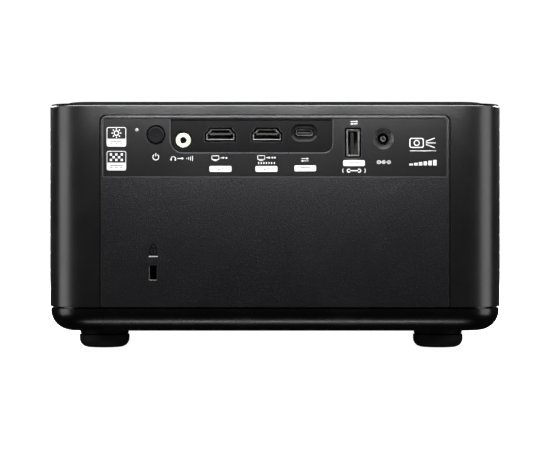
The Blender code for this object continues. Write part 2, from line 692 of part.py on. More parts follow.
def display_board():
    """The board and cooler of the imaging chip on the engine's back."""
    x0, x1, _, y1, z0, z1 = ENGINE
    board = part(
        "display_board",
        block(x0 + 6, x1 - 6, y1 + GAP, y1 + GAP + 1.6, z0 + 4, z1 - 10),
        "circuit_board",
    )
    middle = (x0 + x1) / 2
    fuse(board, block(middle - 14, middle + 14, y1 + 1.4, y1 + 12, 56, 84))


def light_source(number, y):
    """One lamp module on the engine's inner side."""
    x = ENGINE[1] + GAP
    module = part(f"light_source_{number}", block(x, x + 9, y - 11, y + 11, 62, 88), "aluminium", smooth=False)
    fuse(module, block(x + 8, x + 12, y - 7, y + 7, 66, 84))


# ---------------------------------------------------------------- cooling


def heat_sink():
    """A base plate with a row of fins that the air crosses along X."""
    x0, x1, y0, y1, z0, z1 = SINK
    pitch = (y1 - y0 - FIN_THICK) / (FINS - 1)
    base = 6.0
    outline = [(y0, z0), (y1, z0)]
    for fin in reversed(range(FINS)):
        y = y0 + fin * pitch
        outline += [(y + FIN_THICK, z1), (y, z1)]
        if fin:
            outline += [(y, z0 + base), (y - pitch + FIN_THICK, z0 + base)]
    part("heat_sink", prism(outline, "X", x0, x1), "aluminium", smooth=False)


def heat_pipe():
    """A flattened copper pipe from the lamp modules down to the heat sink's base."""
    start = ENGINE[1] + GAP + 12 + GAP
    z_lamp, z_sink, y = 75.0, SINK[4] - 3.2 - GAP, 36.0
    route = [
        (start + 3.2, -28, z_lamp),
        (start + 3.2, 20, z_lamp),
        (start + 4.5, 30, z_lamp - 3),
        (start + 8, y, z_lamp - 12),
        (start + 11, y, z_sink + 16),
        (start + 16, y, z_sink + 5),
        (start + 25, y, z_sink),
        (SINK[1] - 4, y, z_sink),
    ]
    part("heat_pipe", tube(route, 3.0, 10), "copper")


def fan_frame(name, side):
    """The square frame, with three struts to the motor seat on its inner face."""
    outer, inner = side * FAN_OUTER, side * (FAN_OUTER - FAN_THICK)
    half = FAN_SIDE / 2
    square = rounded(FAN_Y - half, FAN_Y + half, FAN_Z - half, FAN_Z + half, (4,) * 4, 3)
    frame = part(name, prism(square, "X", *sorted((outer, inner))), "socket_plastic")
    cut(frame, rod((FAN_Y, FAN_Z), FAN_BORE, "X", *sorted((outer + side, inner - side)), 28))
    seat_end = side * (FAN_OUTER - FAN_THICK + 2)
    seat = rod((FAN_Y, FAN_Z), HUB_RADIUS - 1, "X", *sorted((inner, seat_end)), 16)
    struts = []
    for turn in (90, 210, 330):
        along = Vector((math.cos(math.radians(turn)), math.sin(math.radians(turn))))
        across = Vector((-along.y, along.x)) * 2
        ends = (along * (HUB_RADIUS - 3), along * (FAN_BORE + 1.2))
        corners = [ends[0] - across, ends[1] - across, ends[1] + across, ends[0] + across]
        outline = [(FAN_Y + c.x, FAN_Z + c.y) for c in corners]
        struts.append(prism(outline, "X", *sorted((inner + side * 0.1, seat_end))))
    fuse(frame, seat, *struts)


def fan_rotor(name, side):
    """The hub and its blades. Each blade grows from one face of the hub and is pitched at its tip."""
    near, far = FAN_OUTER - FAN_THICK + 2 + GAP, FAN_OUTER - 1.2
    per_blade, tip, pitch = 3, FAN_BORE - 1.8, 11.0
    count = BLADES * per_blade

    def ring(radius, x, shift=0.0):
        turns = [math.radians(360 * i / count + shift) for i in range(count)]
        return [(side * x, FAN_Y + radius * math.cos(t), FAN_Z + radius * math.sin(t)) for t in turns]

    low, high = near + 0.8, far - 0.8
    loops = [ring(HUB_RADIUS, x) for x in (near, low, high, far)]
    points, faces = loft(loops)
    root = [[count + i for i in range(count)], [2 * count + i for i in range(count)]]
    tips = (ring(tip, low, -pitch), ring(tip, high, pitch))
    for blade in range(BLADES):
        i = blade * per_blade
        inner = (root[0][i], root[0][i + 1], root[1][i + 1], root[1][i])
        faces = [face for face in faces if set(face) != set(inner)]
        first = len(points)
        points += [tips[0][i], tips[0][i + 1], tips[1][i + 1], tips[1][i]]
        outer = tuple(range(first, first + 4))
        faces.append(outer)
        for j in range(4):
            k = (j + 1) % 4
            faces.append((inner[j], inner[k], outer[k], outer[j]))
    part(name, (points, faces), "socket_plastic", (side * near, FAN_Y, FAN_Z))


# ---------------------------------------------------------------- boards, speakers, feet, fasteners


def main_board():
    """The board over the sockets, with its largest chips and their cooler."""
    low, high = BOARD_LOW, BOARD_LOW + BOARD_THICK
    board = part("main_board", block(-88, 88, -14, PANEL_BACK - 3, low, high), "circuit_board")
    fuse(board, block(-30, 30, 30, 76, high - 0.5, high + 5), block(-70, -48, 20, 40, high - 0.5, high + 1.4))


def power_board():
    """The converter board under the engine's right side, with its coil and capacitors."""
    low, face = POWER_BOARD_LOW, POWER_BOARD_LOW + BOARD_THICK
    board = part("power_board", block(-70, 30, 50, 98, low, face), "circuit_board")
    fuse(
        board,
        block(-60, -44, 62, 78, face - 0.5, face + 12),
        rod((-26, 70), 6, "Z", face - 0.5, face + 18, 16),
        rod((-8, 70), 6, "Z", face - 0.5, face + 18, 16),
    )


def sensor_board():
    """The board behind the window, with a camera and a distance sensor."""
    x0, x1, z0, z1 = WINDOW
    back = SENSOR_BOARD_FRONT
    board = part("sensor_board", block(x0 - 6, x1 + 6, back, back + 1.2, z0 + 2, z1 - 2), "circuit_board")
    middle = (z0 + z1) / 2
    fuse(
        board,
        rod((x0 + 16, middle), 3.2, "Y", back - 5, back + 0.5, 16),
        block(x1 - 24, x1 - 14, back - 3, back + 0.5, middle - 3, middle + 3),
    )


def speaker(name, side):
    """A sealed box with a round driver seat that faces the vents."""
    x0, x1, y0, y1, z0, z1 = SPEAKER_BOX
    at = (SPEAKER_Y, SPEAKER_Z)
    box = part(f"speaker_box_{name}", block(*sorted((side * x0, side * x1)), y0, y1, z0, z1), "socket_plastic")
    well = sorted((side * (x1 - 12), side * (x1 + 5)))
    cut(box, rod(at, SPEAKER_RADIUS + 1.6, "X", *well, 24))
    face = x1 - 2.4
    profile = [
        (0, face - 4.2),
        (7, face - 5.6),
        (SPEAKER_RADIUS - 5, face - 1.0),
        (SPEAKER_RADIUS - 2, face),
        (SPEAKER_RADIUS, face - 1.2),
        (SPEAKER_RADIUS, face - 2.2),
        (SPEAKER_RADIUS - 5, face - 2.6),
        (9, face - 7.4),
        (0, face - 7.4),
    ]
    shape = turned([(r, side * x) for r, x in profile], at, "X", 24)
    part(f"speaker_cone_{name}", shape, "cone_paper", (side * face, *at))


def foot(name, at):
    """A round-edged rubber foot, held by a spigot in the tub's neck."""
    profile = [
        (0, 0),
        (FOOT_RADIUS - 3.4, 0),
        (FOOT_RADIUS - 1.6, 0.5),
        (FOOT_RADIUS - 0.4, 1.8),
        (FOOT_RADIUS, 3.6),
        (FOOT_RADIUS, FOOT_TOP - 0.4),
        (FOOT_RADIUS - 0.4, FOOT_TOP),
        (SPIGOT_RADIUS, FOOT_TOP),
        (SPIGOT_RADIUS, SPIGOT_TOP),
        (0, SPIGOT_TOP),
    ]
    part(f"foot_{name}", turned(profile, at, "Z", 28), "rubber")


def case_screw(number, at):
    head_low = TUB_BOTTOM + 0.6
    head_high = TUB_BOTTOM + 3 - GAP
    profile = [
        (0, head_low),
        (SCREW_HEAD - 0.6, head_low),
        (SCREW_HEAD, head_low + 0.7),
        (SCREW_HEAD, head_high),
        (SCREW_SHAFT, head_high),
        (SCREW_SHAFT, 41),
        (0, 42.4),
    ]
    screw = part(f"case_screw_{number}", turned(profile, at, "Z", 16), "plated_steel")
    x, y = at
    slot = (head_low - 2, head_low + 1.1)
    cut(screw, block(x - 1.8, x + 1.8, y - 0.35, y + 0.35, *slot), block(x - 0.35, x + 0.35, y - 1.8, y + 1.8, *slot))


def tripod_insert():
    """A brass nut flush with the tub's underside."""
    profile = [
        (TRIPOD_BORE, TRIPOD_TOP - 1.5),
        (TRIPOD_BORE, TUB_BOTTOM + 0.6),
        (TRIPOD_BORE + 0.5, TUB_BOTTOM),
        (TRIPOD_RADIUS, TUB_BOTTOM),
        (TRIPOD_RADIUS, TRIPOD_TOP),
        (0, TRIPOD_TOP),
    ]
    part("tripod_insert", turned([(0, TRIPOD_TOP - 1.5)] + profile, (0, 0), "Z", 24), "brass")


def main():
    clear_scene()
    bottom_tub()
    body_sleeve()
    top_cover()
    rear_panel()
    lock_bracket()
    front_panel()
    lens_trim_ring()
    sensor_window()
    power_button()
    button_board()
    status_light()
    for number, at in enumerate(VIDEO_AT, 1):
        video_socket(number, at)
    type_c_socket()
    type_a_socket()
    audio_jack()
    dc_jack()
    engine_housing()
    lens_barrel()
    lens_cell()
    front_lens()
    focus_drive()
    display_board()
    for number, y in enumerate((-28.0, 0.0, 28.0), 1):
        light_source(number, y)
    heat_sink()
    heat_pipe()
    for name, side in (("left", 1), ("right", -1)):
        side_mesh(f"side_mesh_{name}", side)
        fan_frame(f"fan_frame_{name}", side)
        fan_rotor(f"fan_rotor_{name}", side)
        speaker(name, side)
    main_board()
    power_board()
    sensor_board()
    for name, at in FOOT_AT.items():
        foot(name, at)
    for number, at in enumerate(corner_points(), 1):
        case_screw(number, at)
    tripod_insert()


main()
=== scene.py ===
"""The looks of the home projector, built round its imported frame.

Sizes are in millimetres in the frame's axes: +Z up, the lens along -Y, the sockets along +Y.
"""

import math

import bmesh
import bpy
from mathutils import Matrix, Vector


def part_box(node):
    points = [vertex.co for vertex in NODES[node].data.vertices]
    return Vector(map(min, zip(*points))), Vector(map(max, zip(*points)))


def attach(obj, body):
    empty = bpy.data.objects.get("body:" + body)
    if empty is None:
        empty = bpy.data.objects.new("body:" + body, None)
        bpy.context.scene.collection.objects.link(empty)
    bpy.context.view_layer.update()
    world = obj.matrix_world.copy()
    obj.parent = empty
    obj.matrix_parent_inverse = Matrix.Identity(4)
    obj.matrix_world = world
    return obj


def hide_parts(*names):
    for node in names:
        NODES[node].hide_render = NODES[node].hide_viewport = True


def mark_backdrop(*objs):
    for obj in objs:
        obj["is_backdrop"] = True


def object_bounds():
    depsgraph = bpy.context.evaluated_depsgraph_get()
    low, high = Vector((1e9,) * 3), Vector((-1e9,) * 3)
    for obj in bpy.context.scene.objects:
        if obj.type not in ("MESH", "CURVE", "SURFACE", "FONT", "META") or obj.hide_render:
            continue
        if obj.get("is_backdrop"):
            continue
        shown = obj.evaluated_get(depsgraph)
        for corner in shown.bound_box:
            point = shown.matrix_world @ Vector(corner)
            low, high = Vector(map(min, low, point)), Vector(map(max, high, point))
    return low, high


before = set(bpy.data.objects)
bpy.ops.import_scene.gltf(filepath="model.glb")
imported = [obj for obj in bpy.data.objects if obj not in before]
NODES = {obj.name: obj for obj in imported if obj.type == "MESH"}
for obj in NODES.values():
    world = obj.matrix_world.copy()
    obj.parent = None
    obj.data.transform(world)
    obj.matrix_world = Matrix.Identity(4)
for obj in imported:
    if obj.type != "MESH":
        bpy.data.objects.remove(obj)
CAD_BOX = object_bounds()

MM = 0.001
HALF_W, HALF_D = CAD_BOX[1][0] / MM, CAD_BOX[1][1] / MM
TOP = CAD_BOX[1][2] / MM

# The housing
CORNER_REACH, CORNER_POWER, CORNER_STEPS, WALL = 24.0, 2.8, 24, 2.6
TUB_BOTTOM, SEAM, SLEEVE_LOW, SLEEVE_TOP, SHOULDER = 9.55, 21.4, 22.2, 126.4, 127.4
TUB_FILLET, TUB_INSET = 11.0, 0.4
TOP_EDGE, BOTTOM_EDGE = 0.5, 0.35  # the sleeve's chamfers
PANEL_HALF, PANEL_TOP, PANEL_RADIUS = 90.3, 121.3, 3.3
PANEL_FACE, PANEL_BACK = HALF_D - 0.2, HALF_D - 4.0
LABEL_FACE, POCKET_FACE = PANEL_FACE - 0.6, PANEL_FACE - 2.1
LABEL_BOTTOM, POCKET = 89.5, (-29.6, 53.8, 102.0)
FRONT_HALF, FRONT_LOW, FRONT_HIGH, FRONT_RADIUS = 100.0, 31.0, 119.0, 12.0
VENT_TOP, VENT_PITCH, VENT_ROWS, VENT_HEIGHT = 114.6, 9.18, 10, 1.4
VENT_END, VENT_COLUMNS, VENT_BRIDGE = 84.0, 3, 5.0

# Things in the rear panel: (x, z)
LIGHT_AT, BUTTON_AT, AUDIO_AT = (71.2, 113.7), (61.4, 111.0), (47.4, 108.3)
VIDEO_AT = ((28.2, 111.2), (4.2, 111.2))
TYPE_C_AT, TYPE_A_AT, DC_AT, LOCK_AT = (-15.1, 112.2), (-40.2, 106.9), (-55.8, 109.1), (62.7, 40.1)
VIDEO_SIZE, TYPE_C_SIZE, TYPE_A_SIZE, LOCK_SIZE = (14.7, 5.7), (9.0, 3.4), (7.2, 14.2), (3.7, 7.4)
SOCKET_MOUTH, SOCKET_BACK = HALF_D - 2.6, HALF_D - 15.0
BUTTON_RADIUS = 4.5

# The lens side
LENS_AT, LENS_HOLE, TRIM_RADIUS = (-45.0, 72.0), 25.0, 33.0
WINDOW = (14.0, 78.0, 88.0, 104.0)
FRONT_FACE = -HALF_D + 0.4

EYE_HEIGHT, EYE_DISTANCE, FOCAL = 64.6, 950.0, 120.8


# ---------------------------------------------------------------- mesh shapes: (points, faces)


def arc(centre, radius, start, end, steps):
    turns = [math.radians(start + (end - start) * i / steps) for i in range(steps + 1)]
    return [(centre[0] + radius * math.cos(t), centre[1] + radius * math.sin(t)) for t in turns]


def rounded(u0, u1, v0, v1, radii, steps=8):
    """A rectangle with a radius at each corner: low-left, low-right, high-right, high-left."""
    corners = ((u0, v0, 1, 1, 180), (u1, v0, -1, 1, 270), (u1, v1, -1, -1, 0), (u0, v1, 1, -1, 90))
    points = []
    for (u, v, du, dv, start), radius in zip(corners, radii):
        points += arc((u + du * radius, v + dv * radius), radius, start, start + 90, steps)
    return points


def circle(centre, radius, steps=48):
    return arc(centre, radius, 0, 360, steps)[:-1]


def case_outline(inset):
    """The case in plan. Its corners tighten gradually, so that their highlights run out softly."""
    reach = max(CORNER_REACH - inset, 1.0)
    turns = [math.radians(90 * i / CORNER_STEPS) for i in range(CORNER_STEPS + 1)]
    share = 2 / CORNER_POWER
    quarter = [(reach * math.cos(t) ** share, reach * math.sin(t) ** share) for t in turns]
    x, y = HALF_W - inset - reach, HALF_D - inset - reach
    points = []
    for sx, sy in ((-1, -1), (1, -1), (1, 1), (-1, 1)):
        corner = [(sx * (x + u), sy * (y + v)) for u, v in quarter]
        points += corner if sx == sy else corner[::-1]
    return points


def box_outline(at, size, radius, grow=0.0, steps=8):
    (x, z), (w, h) = at, size
    u, v = w / 2 + grow, h / 2 + grow
    return rounded(x - u, x + u, z - v, z + v, (max(radius + grow, 0.12),) * 4, steps)


def socket_outline(at, size, grow=0.0):
    """The keyed outline of a video socket, wide side down, with small rounded corners."""
    (x, z), (width, height) = at, size
    w, h = width / 2 + grow, height / 2 + grow
    corners = [(w, -h), (w, 0.18 * h), (w - 1.0, 0.36 * h), (w - 2.4, h)]
    corners += [(-u, v) for u, v in reversed(corners)]
    points, count = [], len(corners)
    for i, corner in enumerate(corners):
        here = Vector(corner)
        before = (Vector(corners[i - 1]) - here).normalized() * 0.35
        after = (Vector(corners[(i + 1) % count]) - here).normalized() * 0.35
        for t in (0.0, 0.33, 0.67, 1.0):
            p = here + before * (1 - t) ** 2 + after * t**2
            points.append((x + p.x, z + p.y))
    return points


def placed(point, axis, along):
    u, v = point
    return {"X": (along, u, v), "Y": (u, along, v), "Z": (u, v, along)}[axis]


def loft(loops, closed=False):
    count = len(loops[0])
    points = [p for loop in loops for p in loop]
    faces = []
    for i in range(len(loops) if closed else len(loops) - 1):
        a, b = i * count, (i + 1) % len(loops) * count
        for j in range(count):
            k = (j + 1) % count
            faces.append((a + j, a + k, b + k, b + j))
    if not closed:
        faces.append(tuple(range(count)))
        faces.append(tuple(range(len(points) - count, len(points))))
    return points, faces


def stepped(layers, axis, closed=False):
    return loft([[placed(p, axis, w) for p in outline] for outline, w in layers], closed)


def prism(outline, axis, low, high):
    return stepped([(outline, low), (outline, high)], axis)


def block(x0, x1, y0, y1, z0, z1):
    return prism([(x0, y0), (x1, y0), (x1, y1), (x0, y1)], "Z", z0, z1)


def turned(profile, centre, axis, steps=64, closed=False):
    points, rings = [], []
    for radius, along in profile:
        ring = circle(centre, radius, steps) if radius > 0 else [centre]
        rings.append(range(len(points), len(points) + len(ring)))
        points += [placed(p, axis, along) for p in ring]
    faces = []
    pairs = list(zip(rings, rings[1:])) + ([(rings[-1], rings[0])] if closed else [])
    for a, b in pairs:
        for j in range(steps):
            k = (j + 1) % steps
            if len(a) == 1:
                faces.append((a[0], b[j], b[k]))
            elif len(b) == 1:
                faces.append((a[j], b[0], a[k]))
            else:
                faces.append((a[j], b[j], b[k], a[k]))
    return points, faces


def together(*meshes):
    points, faces = [], []
    for more_points, more_faces in meshes:
        faces += [tuple(i + len(points) for i in face) for face in more_faces]
        points += more_points
    return points, faces


# ---------------------------------------------------------------- objects


def mesh_object(name, shape):
    points, faces = shape
    mesh = bpy.data.meshes.new(name)
    mesh.from_pydata([Vector(p) * MM for p in points], [], faces)
    edit = bmesh.new()
    edit.from_mesh(mesh)
    bmesh.ops.remove_doubles(edit, verts=edit.verts, dist=0.0005 * MM)
    bmesh.ops.recalc_face_normals(edit, faces=edit.faces)
    edit.to_mesh(mesh)
    edit.free()
    obj = bpy.data.objects.new(name, mesh)
    bpy.context.scene.collection.objects.link(obj)
    return obj


def cut(obj, *shapes):
    """Cuts shapes that don't touch one another out of obj, for good."""
    helper = mesh_object("helper", together(*shapes))
    modifier = obj.modifiers.new("Cut", "BOOLEAN")
    modifier.operation = "DIFFERENCE"
    modifier.solver = "EXACT"
    modifier.object = helper
    depsgraph = bpy.context.evaluated_depsgraph_get()
    result = bpy.data.meshes.new_from_object(obj.evaluated_get(depsgraph))
    obj.modifiers.clear()
    obj.data = result
    bpy.data.objects.remove(helper)


def finish_piece(obj, finish, body="housing", stands_for=()):
    """Smooths the piece, keeps its flat faces flat, and gives it its finish and its body."""
    obj.data.materials.clear()
    for material in finish if isinstance(finish, (list, tuple)) else [finish]:
        obj.data.materials.append(material)
    obj.data.shade_smooth()
    obj.data.set_sharp_from_angle(angle=math.radians(35))
    weighted = obj.modifiers.new("Flat faces", "WEIGHTED_NORMAL")
    weighted.keep_sharp = True
    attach(obj, body)
    if stands_for:
        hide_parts(*stands_for)
    return obj


def piece(name, shape, finish, body="housing", stands_for=()):
    return finish_piece(mesh_object(name, shape), finish, body, stands_for)


# ---------------------------------------------------------------- materials


def new_material(name, colour, roughness, metallic=0.0):
    material = bpy.data.materials.new(name)
    material.use_nodes = True
    shader = material.node_tree.nodes["Principled BSDF"]
    shader.inputs["Base Color"].default_value = (*colour, 1)
    shader.inputs["Roughness"].default_value = roughness
    shader.inputs["Metallic"].default_value = metallic
    material.diffuse_color = (*colour, 1)
    return material, material.node_tree, shader


def noise(tree, scale, detail=2.0, stretch=None):
    """A noise texture in the object's own space, in features per millimetre."""
    place = tree.nodes.new("ShaderNodeTexCoord")
    texture = tree.nodes.new("ShaderNodeTexNoise")
    texture.inputs["Scale"].default_value = scale / MM
    texture.inputs["Detail"].default_value = detail
    if stretch:
        mapping = tree.nodes.new("ShaderNodeMapping")
        mapping.inputs["Scale"].default_value = stretch
        tree.links.new(place.outputs["Object"], mapping.inputs["Vector"])
        tree.links.new(mapping.outputs["Vector"], texture.inputs["Vector"])
    else:
        tree.links.new(place.outputs["Object"], texture.inputs["Vector"])
    return texture.outputs["Fac"]


def cells(tree, scale, feature="F1"):
    place = tree.nodes.new("ShaderNodeTexCoord")
    texture = tree.nodes.new("ShaderNodeTexVoronoi")
    texture.feature = feature
    texture.inputs["Scale"].default_value = scale / MM
    tree.links.new(place.outputs["Object"], texture.inputs["Vector"])
    return texture.outputs["Distance"]


def ranged(tree, value, low, high, source=(0.3, 0.7)):
    ramp = tree.nodes.new("ShaderNodeMapRange")
    ramp.inputs["From Min"].default_value, ramp.inputs["From Max"].default_value = source
    ramp.inputs["To Min"].default_value, ramp.inputs["To Max"].default_value = low, high
    tree.links.new(value, ramp.inputs["Value"])
    return ramp.outputs["Result"]


def mixed(tree, value, first, second):
    mix = tree.nodes.new("ShaderNodeMix")
    mix.data_type = "RGBA"
    mix.inputs["A"].default_value = (*first, 1)
    mix.inputs["B"].default_value = (*second, 1)
    tree.links.new(value, mix.inputs["Factor"])
    return mix.outputs["Result"]


def bumped(tree, shader, heights):
    """Chains bumps of (height value, depth in millimetres) into the shader's normal."""
    previous = None
    for value, depth in heights:
        bump = tree.nodes.new("ShaderNodeBump")
        bump.inputs["Strength"].default_value = 1.0
        bump.inputs["Distance"].default_value = depth * MM
        tree.links.new(value, bump.inputs["Height"])
        if previous:
            tree.links.new(previous, bump.inputs["Normal"])
        previous = bump.outputs["Normal"]
    tree.links.new(previous, shader.inputs["Normal"])


def plastic(name, colour, roughness, grain, depth, lift=1.5, spread=0.07, specular=0.5):
    """Moulded plastic with an eroded grain, in features per millimetre, and faint mottling."""
    material, tree, shader = new_material(name, colour, roughness)
    shader.inputs["Specular IOR Level"].default_value = specular
    fine, coarse = noise(tree, grain, 3.0), noise(tree, 0.05, 3.0)
    lighter = tuple(c * lift for c in colour)
    tree.links.new(mixed(tree, ranged(tree, fine, 0.0, 1.0), colour, lighter), shader.inputs["Base Color"])
    wear = ranged(tree, coarse, roughness - spread, roughness + spread)
    tree.links.new(wear, shader.inputs["Roughness"])
    bumped(tree, shader, [(fine, depth), (cells(tree, grain * 0.8), depth * 0.7)])
    return material


def metal(name, colour, roughness, stretch=(1, 1, 40), spread=0.1):
    """Metal with fine drawn lines across the stretched axis."""
    material, tree, shader = new_material(name, colour, roughness, 1.0)
    lines, clouds = noise(tree, 0.4, 4.0, stretch), noise(tree, 0.15, 3.0)
    darker = tuple(c * 0.8 for c in colour)
    tree.links.new(mixed(tree, ranged(tree, clouds, 0.0, 1.0), colour, darker), shader.inputs["Base Color"])
    tree.links.new(ranged(tree, lines, roughness - spread, roughness + spread), shader.inputs["Roughness"])
    bumped(tree, shader, [(lines, 0.01)])
    return material


def circuit_board():
    """Green solder mask over copper tracks, with tinned specks."""
    material, tree, shader = new_material("solder mask", (0.01, 0.07, 0.035), 0.4)
    tracks = cells(tree, 0.35, "DISTANCE_TO_EDGE")
    track = ranged(tree, tracks, 1.0, 0.0, (0.02, 0.06))
    specks = ranged(tree, cells(tree, 0.5), 1.0, 0.0, (0.10, 0.16))
    base = mixed(tree, track, (0.008, 0.06, 0.03), (0.02, 0.13, 0.06))
    tinned = tree.nodes.new("ShaderNodeMix")
    tinned.data_type = "RGBA"
    tinned.inputs["B"].default_value = (0.55, 0.55, 0.5, 1)
    tree.links.new(base, tinned.inputs["A"])
    tree.links.new(specks, tinned.inputs["Factor"])
    tree.links.new(tinned.outputs["Result"], shader.inputs["Base Color"])
    bumped(tree, shader, [(track, 0.05)])
    return material


def screen_steel():
    """Perforated steel: rows of dark holes in a black-coated sheet."""
    material, tree, shader = new_material("dust screen", (0.05, 0.05, 0.05), 0.5)
    holes = ranged(tree, cells(tree, 0.7), 1.0, 0.0, (0.25, 0.35))
    coated = mixed(tree, holes, (0.045, 0.045, 0.048), (0.001, 0.001, 0.001))
    tree.links.new(coated, shader.inputs["Base Color"])
    bumped(tree, shader, [(ranged(tree, cells(tree, 0.7), 0.0, 1.0, (0.2, 0.4)), 0.3)])
    return material


def lens_glass():
    """Coated glass with a faint violet bloom."""
    material, tree, shader = new_material("coated glass", (0.9, 0.92, 1.0), 0.02)
    shader.inputs["Transmission Weight"].default_value = 0.75
    shader.inputs["IOR"].default_value = 1.6
    shader.inputs["Coat Weight"].default_value = 1.0
    shader.inputs["Coat Roughness"].default_value = 0.02
    shader.inputs["Coat Tint"].default_value = (0.8, 0.75, 1.0, 1)
    haze = noise(tree, 0.02, 2.0)
    tree.links.new(ranged(tree, haze, 0.01, 0.05), shader.inputs["Roughness"])
    tree.links.new(mixed(tree, haze, (0.17, 0.18, 0.25), (0.10, 0.085, 0.17)), shader.inputs["Base Color"])
    return material


def printed_ink():
    """Screen-printed white ink, a little uneven."""
    material, tree, shader = new_material("white ink", (0.8, 0.8, 0.8), 0.6)
    patchy = noise(tree, 3.0, 3.0)
    uneven = mixed(tree, ranged(tree, patchy, 0.0, 1.0), (0.44, 0.44, 0.44), (0.54, 0.54, 0.54))
    tree.links.new(uneven, shader.inputs["Base Color"])
    tree.links.new(ranged(tree, patchy, 0.5, 0.75), shader.inputs["Roughness"])
    bumped(tree, shader, [(patchy, 0.01)])
    return material


# Name, base colour, roughness; for plastics also the grain's scale and depth
FINISH = {
    "case": plastic("textured case plastic", (0.0045, 0.0045, 0.0048), 0.31, 1.6, 0.03, spread=0.03),
    # painted highlight: lighter and smoother than the case, given to chamfers and edges where they catch the
    # light
    "edge": plastic("case edge, painted highlight", (0.012, 0.012, 0.013), 0.28, 1.6, 0.01, spread=0.04),
    "panel": plastic(
        "leather-grained panel", (0.0040, 0.0036, 0.0044), 0.38, 3.0, 0.13, spread=0.02, specular=0.34
    ),
    "label": plastic(
        "smooth label plastic", (0.0050, 0.0050, 0.0053), 0.39, 3.0, 0.03, spread=0.03, specular=0.2
    ),
    "lid": plastic(
        "satin lid plastic", (0.0022, 0.0022, 0.0024), 0.26, 2.4, 0.006, spread=0.03, specular=0.045
    ),
    "tub": plastic(
        "satin tub plastic", (0.0012, 0.0012, 0.0014), 0.27, 2.4, 0.008, spread=0.03, specular=0.4
    ),
    # painted shade: darker and less glossy than the label face, for the shaded floor of the recessed pocket
    "recess": plastic(
        "pocket plastic, painted shade", (0.0022, 0.0022, 0.0024), 0.42, 3.0, 0.02, spread=0.03, specular=0.08
    ),
    "button": plastic("satin button plastic", (0.003, 0.003, 0.0033), 0.40, 3.0, 0.015, specular=0.07),
    "gloss": plastic("polished black plastic", (0.004, 0.004, 0.005), 0.09, 0.3, 0.004, spread=0.03),
    "socket": plastic("socket insulator", (0.011, 0.011, 0.011), 0.45, 3.0, 0.01, specular=0.25),
    "tongue": plastic("socket tongue", (0.013, 0.013, 0.012), 0.5, 3.0, 0.01, specular=0.2),
    "blade": plastic("host socket tongue", (0.005, 0.005, 0.005), 0.5, 3.0, 0.01, specular=0.12),
    # painted shade: a flat grey sheet inside the socket shells stands in for the dimly lit steel
    "shade_sheet": plastic("socket lining", (0.10, 0.10, 0.10), 0.5, 3.0, 0.01, specular=0.25),
    # painted shade: near-black with little sheen, for the holes and gaps of the rear panel, the notch walls
    # beside it, the feet's necks and the padlock
    "well": plastic("near-black plastic, painted shade", (0.0012, 0.0012, 0.0012), 0.6, 3.0, 0.01, specular=0.08),
    "rubber": plastic("foot rubber", (0.003, 0.003, 0.003), 0.72, 1.2, 0.06, specular=0.15),
    "ring": plastic("pale green plastic", (0.55, 0.66, 0.42), 0.38, 2.5, 0.01, lift=1.12),
    "light": plastic("milky light pipe", (0.22, 0.23, 0.24), 0.30, 2.0, 0.01, lift=1.2),
    "paper": plastic("pulp cone", (0.03, 0.03, 0.032), 0.8, 0.8, 0.12),
    "steel": metal("nickel-plated steel", (0.62, 0.60, 0.57), 0.28),
    "shell": metal("dull nickel shell", (0.17, 0.168, 0.162), 0.36),
    "upright": metal("host socket shell", (0.32, 0.315, 0.29), 0.32),
    "gold": metal("gilt contact", (0.83, 0.62, 0.28), 0.25),
    "aluminium": metal("milled aluminium", (0.66, 0.67, 0.68), 0.36),
    "copper": metal("bare copper", (0.72, 0.36, 0.22), 0.32),
    "brass": metal("turned brass", (0.70, 0.52, 0.24), 0.30),
    "cast": metal("die-cast alloy", (0.20, 0.21, 0.22), 0.5, (1, 1, 1)),
    "board": circuit_board(),
    "screen": screen_steel(),
    "glass": lens_glass(),
    "ink": printed_ink(),
}


# ---------------------------------------------------------------- housing


